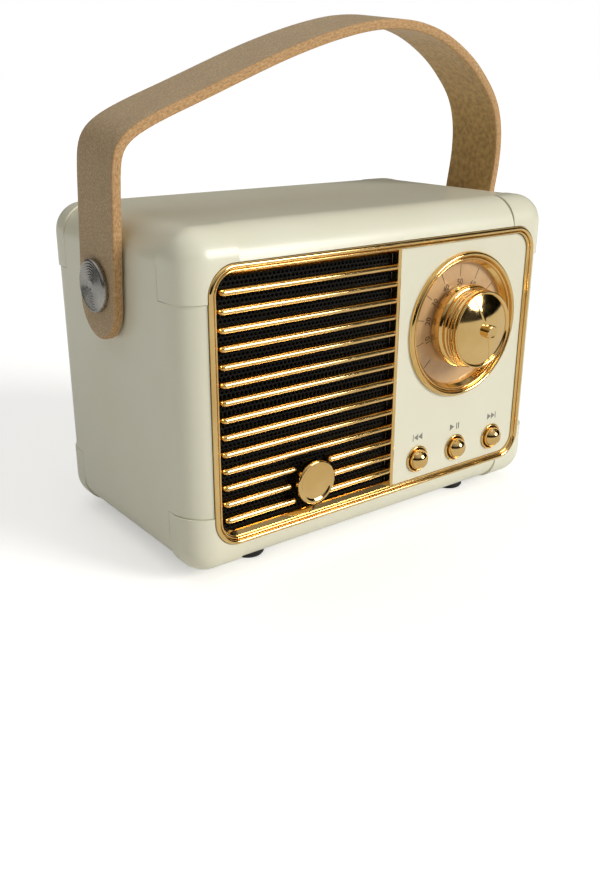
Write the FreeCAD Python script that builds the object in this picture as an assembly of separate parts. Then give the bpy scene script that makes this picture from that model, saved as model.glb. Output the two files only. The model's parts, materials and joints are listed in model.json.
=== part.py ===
import FreeCAD, Part
import math
import os

# A small retro tabletop radio: a moulded cabinet with eight corner guards, a gold grille frame,
# a dial with a turning knob, three push buttons and a leather carrying strap.
# Lengths are in millimetres. The model is drawn about the middle of the cabinet: X to the right,
# the front faces -Y, Z up. save() then moves it so that the origin is on the table,
# under the middle of the whole object's box.

V = FreeCAD.Vector
X_AXIS = V(1, 0, 0)
Y_AXIS = V(0, 1, 0)
Z_AXIS = V(0, 0, 1)

# ---- cabinet -------------------------------------------------------------------------------
cabinet_width = 86.0
cabinet_depth = 50.0
cabinet_height = 60.0
edge_radius = 6.4
side_wall = 2.4
front_wall = 3.0
rear_wall = 2.8
inner_radius = 3.0
fit_gap = 0.1                   # gap round a piece that drops into a recess of its own

# ---- corner guards ---------------------------------------------------------------------------
guard_width = 10.7
guard_height = 11.5
guard_depth = 7.7
guard_radius = 5.5
guard_thickness = 1.2

# ---- grille frame, bars and mesh -----------------------------------------------------------
frame_side_margin = 4.75
frame_top_margin = 5.5
frame_radius = 5.0
frame_inset = 1.8
bead_width = 1.35
bead_proud = 0.5
band_width = 0.9
band_depth = 0.9
divider_width = 0.8
panel_width = 34.3
bar_pitch = 3.06
bar_height = 1.2
bar_sink = 0.05
mesh_thickness = 0.5
mesh_hole_radius = 0.65
mesh_hole_pitch = 2.5
mesh_border = 1.6

# ---- badge ---------------------------------------------------------------------------------
badge_radius = 4.2
badge_proud = 1.0
badge_bar_gap = 0.4
badge_bar_from_bottom = 2       # the badge is centred on this bar, counted from the lowest

# ---- control panel, dial and knob ----------------------------------------------------------
panel_sink = 0.4
dial_above_centre = 6.7
ring_radius = 14.3
ring_neck_radius = 13.4
ring_proud = 0.9
ring_width = 1.3
dial_window_radius = 12.0
dial_plate_thickness = 0.4
dial_sink = 0.4                 # the dial plate's back behind the floor of the frame's recess
knob_reach = 5.0                # rim of the knob's face ahead of the cabinet's front
knob_dome = 1.2                 # rise of the face from its rim to its middle
hub_proud = 1.3                 # the hub stands this far out of the middle of the face
knob_face_radius = 7.05
knob_side_radius = 7.5
knob_flange_radius = 8.25
knob_flange_thickness = 1.0
knob_lift = 0.3                 # running gap between the knob and the dial plate
knob_rest_angle = 22.0          # the needle leans this far to the left of straight up
knob_cup_radius = 6.2
knob_face_wall = 0.8            # end of the shaft to the rim of the knob's face
needle_width = 0.55
needle_height = 0.3
hub_radius = 1.2
shaft_radius = 3.0
shaft_running_gap = 0.05
shaft_in_knob = 3.0
bushing_wall = 0.5
washer_radius = 5.3
washer_thickness = 0.4
nut_across_flats = 9.0
nut_thickness = 1.6
pot_radius = 8.25
pot_depth = 8.0

# ---- buttons and their switches -------------------------------------------------------------
button_pitch = 10.64
buttons_below_centre = 18.95
button_radius = 2.1
button_proud = 2.3
button_dome = 1.9
button_gap = 0.15
button_ring_radius = 2.75
button_ring_proud = 0.4
button_travel = 0.5
button_flange_radius = 2.7
button_flange_thickness = 0.6
switch_size = 6.0
switch_depth = 3.4
plunger_radius = 1.7
plunger_length = 1.4
board_thickness = 1.6
button_board_width = 37.0
button_board_height = 9.0
button_post_offset = 16.3
post_radius = 1.9
screw_shank_radius = 0.8
screw_shank_length = 4.0
screw_head_radius = 1.5
screw_head_height = 1.0

# ---- carrying strap and its screws -----------------------------------------------------------
pivot_below_top = 11.7
strap_width = 13.0
strap_thickness = 1.7
strap_side_gap = 0.5            # strap to cabinet side
strap_tail = 9.5                # strap end below the screw
strap_past_rear = 19.1          # how much further than half the cabinet's depth the strap rises
strap_hole_gap = 0.08
strap_lean = 6.0                # degrees that the strap leans forward of upright at rest
strap_washer_radius = 5.5
strap_washer_thickness = 0.4
strap_screw_head_radius = 4.6
strap_screw_head_height = 1.1
strap_head_gap = 0.1
shoulder_radius = 2.0
strap_shank_radius = 1.5
insert_radius = 2.4
insert_length = 5.0
insert_boss_radius = 4.2
insert_boss_depth = 3.2
# Outer face of the strap from the left leg over the arch to the right leg:
# share of the half span, share of the rise above the screws.
strap_arch = [
    (-1.000, 0.120), (-1.000, 0.210), (-1.000, 0.300), (-1.000, 0.390), (-0.998, 0.460),
    (-0.991, 0.513), (-0.972, 0.557), (-0.934, 0.596), (-0.878, 0.630), (-0.800, 0.666),
    (-0.690, 0.710), (-0.545, 0.768), (-0.412, 0.822), (-0.276, 0.874), (-0.120, 0.926),
    (0.018, 0.964), (0.140, 0.989), (0.262, 1.000), (0.362, 0.998), (0.455, 0.984),
    (0.550, 0.957), (0.650, 0.912), (0.762, 0.843), (0.849, 0.769), (0.921, 0.690),
    (0.968, 0.608), (0.994, 0.525), (1.006, 0.446), (1.009, 0.370), (1.006, 0.290),
    (1.002, 0.210), (1.000, 0.120),
]

# ---- feet --------------------------------------------------------------------------------------
foot_radius = 3.0
foot_height = 1.6
foot_from_side = 16.5
foot_from_front = 8.0
foot_pocket = 0.4
foot_plug_radius = 1.5
foot_plug_length = 1.2

# ---- speaker -----------------------------------------------------------------------------------
speaker_radius = 18.0
speaker_opening = 15.0
gasket_thickness = 0.6
basket_depth = 9.0
top_plate_radius = 12.0
magnet_thickness = 4.0
yoke_thickness = 1.5
pole_radius = 3.4
coil_radius = 3.85
coil_wall = 0.2
gap_radius = 4.3
speaker_post_radius = 1.9
sheet = 0.8                     # pressed steel of the basket

# ---- rear cover ---------------------------------------------------------------------------------
cover_side_margin = 11.0
cover_top_margin = 7.0
cover_radius = 4.0
cover_thickness = 1.6
cover_lip = 2.2
cover_screw_inset = 4.2
cover_post_radius = 2.6
cover_post_length = 8.0
cover_screw_radius = 0.95
cover_screw_head_radius = 1.9
cover_screw_head_height = 1.1
cover_screw_length = 7.0

# ---- main board and what it carries ---------------------------------------------------------------
main_board_width = 50.0
main_board_depth = 24.8
main_board_above_floor = 10.6
main_post_inset_x = 3.0
main_post_inset_y = 3.5
board_to_rear_wall = 0.4
usb_x = 9.0
usb_width = 9.0
usb_height = 3.2
usb_length = 7.4
usb_wall = 0.35
usb_sunk = 0.6                  # socket mouth behind the cover's outer face
card_x = -9.0
card_width = 14.6
card_length = 14.5
card_height = 2.0
card_slot_width = 11.6
card_slot_height = 1.0
socket_gap = 0.3
light_x = 17.0
light_radius = 1.0
battery_length = 34.0
battery_width = 22.0
battery_height = 6.0
battery_pad_thickness = 1.0
lead_radius = 0.6
lead_solder_gap = 0.05

# ---- values worked out from the ones above ----------------------------------------------------------
front = -cabinet_depth / 2
rear = cabinet_depth / 2
top = cabinet_height / 2
side = cabinet_width / 2
wall_inner = front + front_wall
rear_inner = rear - rear_wall
floor_inner = -top + side_wall
frame_width = cabinet_width - 2 * frame_side_margin
frame_height = cabinet_height - 2 * frame_top_margin
seat = front + frame_inset      # the floor of the frame's recess
panel_right = frame_width / 2 - bead_width
panel_left = panel_right - panel_width
divider_left = panel_left - divider_width
grille_left = -frame_width / 2 + bead_width + band_width
grille_top = frame_height / 2 - bead_width - band_width
grille_x = (grille_left + divider_left) / 2
panel_x = (panel_left + panel_right) / 2
panel_front = front + panel_sink
dial_back = seat + dial_sink
dial_face = dial_back - dial_plate_thickness
bar_count = int(2 * grille_top // bar_pitch)
bar_heights = [(i - (bar_count - 1) / 2) * bar_pitch for i in range(bar_count)]
badge_z = bar_heights[badge_bar_from_bottom - 1]
bushing_radius = shaft_radius + bushing_wall
knob_back = dial_face - knob_lift
knob_face = front - knob_reach
hub_end = knob_face - knob_dome - hub_proud
button_x = [panel_x - button_pitch, panel_x, panel_x + button_pitch]
button_flange_front = wall_inner + fit_gap
button_back = button_flange_front + button_flange_thickness
switch_front = button_back + button_travel + 0.2
button_board_front = switch_front + switch_depth
pivot_z = top - pivot_below_top
strap_inner = side + strap_side_gap
strap_outer = strap_inner + strap_thickness
strap_rise = cabinet_depth / 2 + strap_past_rear
basket_front = wall_inner + gasket_thickness
basket_back = basket_front + basket_depth
yoke_back = basket_back + magnet_thickness + yoke_thickness
cover_width = cabinet_width - 2 * cover_side_margin
cover_height = cabinet_height - 2 * cover_top_margin
cover_inner = rear - cover_thickness
main_board_bottom = floor_inner + main_board_above_floor
main_board_top = main_board_bottom + board_thickness
main_board_rear = rear_inner - board_to_rear_wall
main_board_front = main_board_rear - main_board_depth


# ---- drawing helpers ------------------------------------------------------------------------------
def box(x0, x1, y0, y1, z0, z1):
    return Part.makeBox(x1 - x0, y1 - y0, z1 - z0, V(x0, y0, z0))


def rod_x(y, z, radius, x0, x1):
    return Part.makeCylinder(radius, x1 - x0, V(x0, y, z), X_AXIS)


def rod_y(x, z, radius, y0, y1):
    return Part.makeCylinder(radius, y1 - y0, V(x, y0, z), Y_AXIS)


def rod_z(x, y, radius, z0, z1):
    return Part.makeCylinder(radius, z1 - z0, V(x, y, z0), Z_AXIS)


def tube_y(x, z, outer, inner, y0, y1):
    return rod_y(x, z, outer, y0, y1).cut(rod_y(x, z, inner, y0 - 1, y1 + 1))


def turned_y(x, z, profile):
    """A turned solid about a Y line: profile is a closed outline of (radius, y)."""
    points = [V(x + radius, y, z) for radius, y in profile]
    return Part.Face(Part.makePolygon(points + points[:1])).revolve(V(x, 0, z), Y_AXIS, 360)


def turned_x(y, z, profile):
    """A turned solid about an X line: profile is a closed outline of (radius, x)."""
    points = [V(x, y, z + radius) for radius, x in profile]
    return Part.Face(Part.makePolygon(points + points[:1])).revolve(V(0, y, z), X_AXIS, 360)


def plate(width, height, radius, y0, y1):
    """A plate on the cabinet's centre line, with its four corners rounded."""
    block = box(-width / 2, width / 2, y0, y1, -height / 2, height / 2)
    corners = [e for e in block.Edges if abs(e.tangentAt(e.FirstParameter).y) > 0.99]
    return block.makeFillet(radius, corners)


def rounded_block(inset, radius):
    """The cabinet's outer form, drawn in by inset on every side."""
    width = cabinet_width - 2 * inset
    depth = cabinet_depth - 2 * inset
    height = cabinet_height - 2 * inset
    block = box(-width / 2, width / 2, -depth / 2, depth / 2, -height / 2, height / 2)
    return block.makeFillet(radius, block.Edges)


def fused(shapes):
    return shapes[0].multiFuse(shapes[1:]).removeSplitter()


def save(name, shape):
    """Write one node, moved so that the origin is under the middle of the whole object."""
    placed = shape.copy()
    placed.translate(V(0, (front - hub_end) / 2, foot_height + cabinet_height / 2))
    placed.exportStep("parts/" + name + ".step")


# ---- where things sit ---------------------------------------------------------------------------
def corner_region(sx, sy, sz, grow):
    """The block of space that one corner guard fills; sx, sy and sz are -1 or 1."""
    reach_x = side - guard_width - grow
    reach_y = cabinet_depth / 2 - guard_depth - grow
    reach_z = top - guard_height - grow
    xs = sorted((sx * reach_x, sx * (side + 1)))
    ys = sorted((sy * reach_y, sy * (cabinet_depth / 2 + 1)))
    zs = sorted((sz * reach_z, sz * (top + 1)))
    return box(xs[0], xs[1], ys[0], ys[1], zs[0], zs[1])


def corners():
    return [(sx, sy, sz) for sy in (-1, 1) for sz in (-1, 1) for sx in (-1, 1)]


def frame_recess(gap):
    """The space that the grille frame fills, with a gap all round it."""
    return plate(frame_width + 2 * gap, frame_height + 2 * gap, frame_radius + gap,
                 front - 1, seat)


def grille_window(gap, y0, y1):
    """The grille's opening inside the frame's band, drawn in by gap."""
    drawn_in = 2 * (bead_width + band_width + gap)
    whole = plate(frame_width - drawn_in, frame_height - drawn_in,
                  frame_radius - drawn_in / 2, y0, y1)
    return whole.common(box(-side, divider_left - gap, y0, y1, -top, top))


def panel_window(gap, y0, y1):
    """The control panel's opening inside the frame's bead, drawn in by gap."""
    drawn_in = 2 * (bead_width + gap)
    whole = plate(frame_width - drawn_in, frame_height - drawn_in,
                  frame_radius - drawn_in / 2, y0, y1)
    return whole.common(box(panel_left + gap, side, y0, y1, -top, top))


def foot_places():
    x = side - foot_from_side
    y = cabinet_depth / 2 - foot_from_front
    return {"front_left": (-x, -y), "front_right": (x, -y), "rear_left": (-x, y), "rear_right": (x, y)}


def cover_screw_places():
    x = cover_width / 2 - cover_screw_inset
    z = cover_height / 2 - cover_screw_inset
    return [(sx * x, sz * z) for sx in (-1, 1) for sz in (-1, 1)]


def speaker_screw_places():
    reach = (speaker_radius + speaker_post_radius + fit_gap) / math.sqrt(2)
    return [(grille_x + sx * reach, sz * reach) for sx in (-1, 1) for sz in (-1, 1)]


def main_post_places():
    x = main_board_width / 2 - main_post_inset_x
    return [(sx * x, y) for sx in (-1, 1)
            for y in (main_board_front + main_post_inset_y, main_board_rear - main_post_inset_y)]


def button_post_places():
    return [(panel_x - button_post_offset, -buttons_below_centre),
            (panel_x + button_post_offset, -buttons_below_centre)]


# ---- cabinet ------------------------------------------------------------------------------------
def cabinet_outside():
    body = rounded_block(0, edge_radius)
    core = rounded_block(guard_thickness, guard_radius - guard_thickness)
    for sx, sy, sz in corners():
        body = body.cut(corner_region(sx, sy, sz, fit_gap).cut(core))
    return body


def cabinet_cavity():
    block = box(-side + side_wall, side - side_wall, wall_inner, rear_inner, floor_inner, top - side_wall)
    return block.makeFillet(inner_radius, block.Edges)


def rear_openings():
    """The recess that the rear cover drops into, and the opening inside its lip."""
    recess = plate(cover_width + 2 * fit_gap, cover_height + 2 * fit_gap,
                   cover_radius + fit_gap, cover_inner, rear + 1)
    opening = plate(cover_width - 2 * cover_lip, cover_height - 2 * cover_lip,
                    cover_radius, rear_inner - 1, rear)
    return [recess, opening]


def cabinet_bosses():
    """Posts inside the cabinet, before their screw holes are cut."""
    inner_side = side - side_wall
    bosses = [rod_x(0, pivot_z, insert_boss_radius, -inner_side - 1, -inner_side + insert_boss_depth),
              rod_x(0, pivot_z, insert_boss_radius, inner_side - insert_boss_depth, inner_side + 1)]
    bosses += [rod_y(x, z, cover_post_radius, rear_inner - cover_post_length, cover_inner)
               for x, z in cover_screw_places()]
    bosses += [rod_y(x, z, speaker_post_radius, wall_inner - 0.3, basket_front + sheet)
               for x, z in speaker_screw_places()]
    bosses += [rod_y(x, z, post_radius, wall_inner - 0.3, button_board_front)
               for x, z in button_post_places()]
    bosses += [rod_z(x, y, post_radius, floor_inner - 0.5, main_board_bottom)
               for x, y in main_post_places()]
    return bosses


def front_openings():
    cuts = [frame_recess(fit_gap), grille_window(-fit_gap, front, seat + mesh_thickness)]
    cuts.append(rod_y(grille_x, 0, speaker_opening, front, wall_inner + 1))
    cuts.append(rod_y(panel_x, dial_above_centre, ring_neck_radius + fit_gap, front, dial_back))
    cuts.append(rod_y(panel_x, dial_above_centre, bushing_radius + fit_gap, front, wall_inner + 1))
    cuts += [rod_y(x, -buttons_below_centre, button_radius + button_gap, front, wall_inner + 1)
             for x in button_x]
    return cuts


def foot_and_insert_holes():
    cuts = [rod_x(0, pivot_z, insert_radius, x0, x0 + insert_length)
            for x0 in (-side, side - insert_length)]
    for x, y in foot_places().values():
        cuts.append(rod_z(x, y, foot_radius + fit_gap / 2, -top - 1, -top + foot_pocket))
        cuts.append(rod_z(x, y, foot_plug_radius, -top, -top + foot_pocket + foot_plug_length))
    return cuts


def screw_holes():
    speaker_boss_back = basket_front + sheet
    holes = [rod_y(x, z, cover_screw_radius, cover_inner - cover_screw_length, rear)
             for x, z in cover_screw_places()]
    holes += [rod_y(x, z, screw_shank_radius, wall_inner - 0.2, speaker_boss_back + 1)
              for x, z in speaker_screw_places()]
    holes += [rod_y(x, z, screw_shank_radius,
                    button_board_front + board_thickness - screw_shank_length, button_board_front + 1)
              for x, z in button_post_places()]
    holes += [rod_z(x, y, screw_shank_radius, main_board_top - screw_shank_length, main_board_bottom + 1)
              for x, y in main_post_places()]
    return holes


def cabinet_shell():
    shell = cabinet_outside().cut(cabinet_cavity()).cut(rear_openings())
    shell = shell.fuse(cabinet_bosses())
    return shell.cut(front_openings() + foot_and_insert_holes() + screw_holes())


def corner_guards():
    skin = rounded_block(0, guard_radius).cut(rounded_block(guard_thickness, guard_radius - guard_thickness))
    guards = {}
    for sx, sy, sz in corners():
        guard = skin.common(corner_region(sx, sy, sz, 0))
        if sy < 0:
            guard = guard.cut(frame_recess(fit_gap))
        name = "_".join(["corner_guard", "rear" if sy > 0 else "front",
                         "top" if sz > 0 else "bottom", "right" if sx > 0 else "left"])
        guards[name] = guard
    return guards


# ---- grille side of the front ------------------------------------------------------------------------
def grille_frame():
    """Frame, divider and grille bars: one gold plated moulding."""
    outer = plate(frame_width, frame_height, frame_radius, front - bead_proud, seat)
    drawn_in = 2 * bead_width
    inner = plate(frame_width - drawn_in, frame_height - drawn_in, frame_radius - bead_width,
                  front - bead_proud - 1, seat + 1)
    bead = outer.cut(inner)
    crest = [e for e in bead.Edges if abs(e.CenterOfMass.y - (front - bead_proud)) < 0.001]
    bead = bead.makeFillet(0.45 * bead_width, crest)
    band_front = seat - band_depth
    band = plate(frame_width - drawn_in + 0.2, frame_height - drawn_in + 0.2,
                 frame_radius - bead_width + 0.1, band_front, seat)
    band = band.common(box(-side, divider_left, front, seat, -top, top))
    band = band.cut(grille_window(0, front, seat + 1))
    half = frame_height / 2 - bead_width + 0.1
    divider = box(divider_left, panel_left, front, seat, -half, half)
    pieces = [bead, band, divider] + [grille_bar(z) for z in bar_heights]
    return fused(pieces).cut(rod_y(grille_x, badge_z, badge_radius + badge_bar_gap, front - 1, seat + 1))


def grille_bar(z):
    half = bar_height / 2
    x0 = grille_left - 0.2
    x1 = divider_left + 0.2
    crest = front + bar_sink
    return rod_x(crest + half, z, half, x0, x1).fuse(box(x0, x1, crest + half, seat, z - half, z + half))


def grille_mesh():
    sheet_plate = grille_window(0, seat, seat + mesh_thickness)
    half_width = (divider_left - grille_left) / 2 - mesh_border
    columns = int(half_width // mesh_hole_pitch)
    rows = int((grille_top - mesh_border) // mesh_hole_pitch)
    holes = [rod_y(grille_x + i * mesh_hole_pitch, j * mesh_hole_pitch, mesh_hole_radius,
                   seat - 1, seat + 1)
             for i in range(-columns, columns + 1) for j in range(-rows, rows + 1)]
    return sheet_plate.cut(Part.makeCompound(holes))


def grille_badge():
    """A plain domed medallion: a base ring on the mesh and a raised, rimmed disc."""
    face = front - badge_proud
    base = badge_radius
    disc = badge_radius - 0.35
    rim = badge_radius - 0.8
    profile = [(0, seat), (base, seat), (base, front), (disc, front - 0.2), (disc, face + 0.2),
               (disc - 0.2, face), (rim, face), (rim - 0.3, face + 0.25), (0, face + 0.15)]
    return turned_y(grille_x, badge_z, profile)


# ---- control side of the front -------------------------------------------------------------------------
def control_panel():
    panel = panel_window(fit_gap, panel_front, seat)
    holes = [rod_y(panel_x, dial_above_centre, ring_neck_radius + fit_gap, front - 1, seat + 1)]
    holes += [rod_y(x, -buttons_below_centre, button_ring_radius, front - 1, seat + 1) for x in button_x]
    return panel.cut(holes)


def dial_ring():
    """Bead round the dial, with a stepped wall that leads down to the dial plate."""
    crest = panel_front - ring_proud
    bead_inner = ring_radius - ring_width
    profile = [(dial_window_radius, dial_face), (ring_neck_radius, dial_face),
               (ring_neck_radius, panel_front), (ring_radius, panel_front),
               (ring_radius, crest + 0.4), (ring_radius - 0.4, crest), (bead_inner + 0.4, crest),
               (bead_inner, crest + 0.4), (bead_inner - 0.5, crest + 0.6),
               (dial_window_radius, dial_face - 0.3)]
    return turned_y(panel_x, dial_above_centre, profile)


def dial_plate():
    return tube_y(panel_x, dial_above_centre, ring_neck_radius, bushing_radius + fit_gap,
                  dial_face, dial_back)


def volume_shaft():
    """Turning shaft of the volume control, with a flat on the end that drives the knob."""
    tip = knob_face + knob_face_wall
    shaft = rod_y(panel_x, dial_above_centre, shaft_radius, tip, wall_inner + pot_depth - 2)
    flat = box(panel_x - shaft_radius, panel_x + shaft_radius, tip - 1, tip + shaft_in_knob,
               dial_above_centre + shaft_radius / 2, dial_above_centre + 2 * shaft_radius)
    return shaft.cut(flat)


def volume_knob():
    skirt = knob_back - knob_flange_thickness
    cup_roof = knob_face + knob_face_wall + shaft_in_knob
    profile = [(0, cup_roof), (knob_cup_radius, cup_roof), (knob_cup_radius, knob_back),
               (knob_flange_radius, knob_back), (knob_flange_radius, skirt), (knob_side_radius, skirt),
               (knob_face_radius + 0.1, knob_face + 0.6), (knob_face_radius - 0.4, knob_face),
               (0, knob_face)]
    knob = turned_y(panel_x, dial_above_centre, profile)
    knob = knob.cut(volume_shaft())
    edge = knob_face_radius - 0.5
    ball = (edge ** 2 + knob_dome ** 2) / (2 * knob_dome)
    middle = V(panel_x, knob_face - knob_dome + ball, dial_above_centre)
    dome = Part.makeSphere(ball, middle).common(
        rod_y(panel_x, dial_above_centre, edge, hub_end, knob_face + 0.2))
    length = edge - 0.2
    needle = box(panel_x - needle_width / 2, panel_x + needle_width / 2, hub_end, knob_face + 0.2,
                 dial_above_centre - length, dial_above_centre + length)
    needle = needle.common(Part.makeSphere(ball + needle_height, middle))
    hub = rod_y(panel_x, dial_above_centre, hub_radius, hub_end, knob_face + 0.2)
    tooth = box(panel_x - 0.4, panel_x + 0.4, skirt, knob_back,
                dial_above_centre + knob_side_radius, dial_above_centre + knob_flange_radius + 0.6)
    marks = needle.fuse([hub, tooth])
    marks.rotate(V(panel_x, 0, dial_above_centre), Y_AXIS, -knob_rest_angle)
    return knob.fuse([dome, marks]).removeSplitter()


def volume_bushing():
    end = dial_face - washer_thickness - nut_thickness - 0.5
    return tube_y(panel_x, dial_above_centre, bushing_radius, shaft_radius + shaft_running_gap,
                  end, wall_inner)


def volume_washer():
    return tube_y(panel_x, dial_above_centre, washer_radius, bushing_radius,
                  dial_face - washer_thickness, dial_face)


def volume_nut():
    back = dial_face - washer_thickness
    corner = nut_across_flats / math.sqrt(3)
    points = [V(panel_x + corner * math.cos(math.radians(a)), back,
                dial_above_centre + corner * math.sin(math.radians(a))) for a in range(0, 361, 60)]
    hexagon = Part.Face(Part.makePolygon(points)).extrude(V(0, -nut_thickness, 0))
    return hexagon.cut(rod_y(panel_x, dial_above_centre, bushing_radius, back - nut_thickness - 1, back + 1))


def volume_case():
    """Case of the volume control, with its three solder tabs."""
    case = rod_y(panel_x, dial_above_centre, pot_radius, wall_inner, wall_inner + pot_depth)
    case = case.cut(rod_y(panel_x, dial_above_centre, shaft_radius + shaft_running_gap,
                          wall_inner - 1, wall_inner + pot_depth - 1.5))
    tabs = [box(panel_x + i * 5 - 0.9, panel_x + i * 5 + 0.9, wall_inner + 2, wall_inner + 2.6,
                dial_above_centre - pot_radius - 4, dial_above_centre - pot_radius + 3)
            for i in (-1, 0, 1)]
    return fused([case] + tabs)


# ---- buttons --------------------------------------------------------------------------------------------
def push_button(x):
    z = -buttons_below_centre
    tip = panel_front - button_proud
    ball = (button_radius ** 2 + button_dome ** 2) / (2 * button_dome)
    stem = rod_y(x, z, button_radius, tip, button_back)
    dome = Part.makeSphere(ball, V(x, tip + ball, z))
    crown = rod_y(x, z, button_radius + 1, tip - 1, tip + button_dome).cut(dome)
    flange = rod_y(x, z, button_flange_radius, button_flange_front, button_back)
    return stem.cut(crown).fuse(flange).removeSplitter()


def button_rings():
    z = -buttons_below_centre
    tip = panel_front - button_ring_proud
    inner = button_radius + button_gap
    profile = [(inner, seat), (button_ring_radius, seat), (button_ring_radius, tip + 0.2),
               (button_ring_radius - 0.15, tip), (inner + 0.1, tip), (inner, tip + 0.15)]
    return Part.makeCompound([turned_y(x, z, profile) for x in button_x])


def switch_plunger(x):
    return rod_y(x, -buttons_below_centre, plunger_radius, button_back, button_back + plunger_length)


def switch_bodies():
    z = -buttons_below_centre
    half = switch_size / 2
    depth = plunger_length - (switch_front - button_back) + button_travel + 0.1
    bodies = []
    for x in button_x:
        body = box(x - half, x + half, switch_front, button_board_front, z - half, z + half)
        bodies.append(body.cut(rod_y(x, z, plunger_radius + 0.1, switch_front - 1, switch_front + depth)))
    return Part.makeCompound(bodies)


def button_board():
    z = -buttons_below_centre
    half_width = button_board_width / 2
    half_height = button_board_height / 2
    board = box(panel_x - half_width, panel_x + half_width, button_board_front,
                button_board_front + board_thickness, z - half_height, z + half_height)
    return board.cut([rod_y(x, post_z, screw_shank_radius, button_board_front - 1,
                            button_board_front + board_thickness + 1)
                      for x, post_z in button_post_places()])


# ---- strap ------------------------------------------------------------------------------------------------
def strap_outline():
    """Closed face of the strap seen from the front: outer curve, inner curve and two square tails."""
    outer_points = [V(u * strap_outer, 0, pivot_z + v * strap_rise) for u, v in strap_arch]
    outer = Part.BSplineCurve()
    outer.interpolate(outer_points)
    inner_points = []
    for point in outer_points:
        tangent = outer.tangent(outer.parameter(point))[0]
        inner_points.append(point + V(tangent.z, 0, -tangent.x) * strap_thickness)
    inner = Part.BSplineCurve()
    inner.interpolate(inner_points)
    tail = pivot_z - strap_tail
    left = [V(-strap_inner, 0, tail), V(-strap_outer, 0, tail)]
    right = [V(strap_outer, 0, tail), V(strap_inner, 0, tail)]
    left_tail = Part.makePolygon([inner_points[0]] + left + [outer_points[0]])
    right_tail = Part.makePolygon([outer_points[-1]] + right + [inner_points[-1]])
    edges = left_tail.Edges + [outer.toShape()] + right_tail.Edges + [inner.toShape()]
    return Part.Face(Part.Wire(Part.__sortEdges__(edges)))


def carry_strap():
    strap = strap_outline()
    strap.translate(V(0, -strap_width / 2, 0))
    strap = strap.extrude(V(0, strap_width, 0))
    reach = strap_outer + 2 * strap_thickness
    tip_centre = pivot_z - strap_tail + strap_width / 2
    square_tails = box(-reach, reach, -strap_width, strap_width, pivot_z - strap_tail - 1, tip_centre)
    strap = strap.cut(square_tails.cut(rod_x(0, tip_centre, strap_width / 2, -reach - 1, reach + 1)))
    strap = strap.cut(rod_x(0, pivot_z, shoulder_radius + strap_hole_gap, -reach, reach))
    strap.rotate(V(0, 0, pivot_z), X_AXIS, strap_lean)
    return strap


def strap_screw(sign):
    """Screw with a turned head, a shoulder that the strap swings on and a threaded shank."""
    radius = strap_screw_head_radius
    seat_x = strap_outer + strap_head_gap
    face = seat_x + strap_screw_head_height
    tip = side - insert_length + 0.5
    profile = [(0, tip), (strap_shank_radius, tip), (strap_shank_radius, side), (shoulder_radius, side),
               (shoulder_radius, seat_x), (radius, seat_x), (radius, face - 0.4), (radius - 0.3, face)]
    for step in (3.5, 2.4, 1.3):
        profile += [(step + 0.2, face), (step, face - 0.25), (step - 0.2, face)]
    profile.append((0, face))
    return turned_x(0, pivot_z, [(r, sign * x) for r, x in profile])


def strap_washer(sign):
    x0, x1 = sorted((sign * side, sign * (side + strap_washer_thickness)))
    ring = rod_x(0, pivot_z, strap_washer_radius, x0, x1)
    return ring.cut(rod_x(0, pivot_z, shoulder_radius + 0.05, x0 - 1, x1 + 1))


def strap_inserts():
    inserts = []
    for x0 in (-side, side - insert_length):
        barrel = rod_x(0, pivot_z, insert_radius, x0, x0 + insert_length)
        inserts.append(barrel.cut(rod_x(0, pivot_z, strap_shank_radius, x0 - 1, x0 + insert_length + 1)))
    return Part.makeCompound(inserts)


def foot(x, y):
    disc_top = -top + foot_pocket
    profile = [V(x, y, -top - foot_height), V(x + foot_radius - 0.3, y, -top - foot_height),
               V(x + foot_radius, y, -top - foot_height + 0.4), V(x + foot_radius, y, disc_top),
               V(x + foot_plug_radius, y, disc_top), V(x + foot_plug_radius, y, disc_top + foot_plug_length),
               V(x, y, disc_top + foot_plug_length)]
    return Part.Face(Part.makePolygon(profile + profile[:1])).revolve(V(x, y, 0), Z_AXIS, 360)


# ---- speaker ------------------------------------------------------------------------------------------------
def speaker_gasket():
    return tube_y(grille_x, 0, speaker_radius, speaker_opening + 1, wall_inner, basket_front)


def speaker_basket():
    slope = basket_back - sheet
    profile = [(speaker_opening + 1.5, basket_front), (speaker_radius, basket_front),
               (speaker_radius, basket_front + sheet), (speaker_opening + 2.3, basket_front + sheet),
               (top_plate_radius, slope), (top_plate_radius, basket_back), (gap_radius, basket_back),
               (gap_radius, slope), (top_plate_radius - sheet, slope), (speaker_opening + 1.5, basket_front + sheet)]
    basket = turned_y(grille_x, 0, profile)
    terminal = box(grille_x + 6.5, grille_x + 9.5, basket_front + 2.5, basket_front + 3.3,
                   -speaker_opening - 2, -top_plate_radius)
    return fused([basket, terminal])


def speaker_magnet():
    return tube_y(grille_x, 0, top_plate_radius, gap_radius + 1.5, basket_back, basket_back + magnet_thickness)


def speaker_yoke():
    disc = rod_y(grille_x, 0, top_plate_radius - 0.5, basket_back + magnet_thickness, yoke_back)
    pole = rod_y(grille_x, 0, pole_radius, basket_back - sheet, basket_back + magnet_thickness + 0.5)
    return fused([disc, pole])


def speaker_voice_coil():
    return tube_y(grille_x, 0, coil_radius + coil_wall, coil_radius, basket_front + 5, basket_back + 1.5)


def speaker_cone():
    neck = coil_radius + coil_wall
    lip = speaker_opening - 3
    profile = [(neck, basket_front + 5.8), (neck, basket_front + 5.3), (lip, basket_front + 0.6),
               (lip + 1, basket_front + 0.6), (lip + 1, basket_front + 1), (lip + 0.2, basket_front + 1)]
    return turned_y(grille_x, 0, profile)


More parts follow.
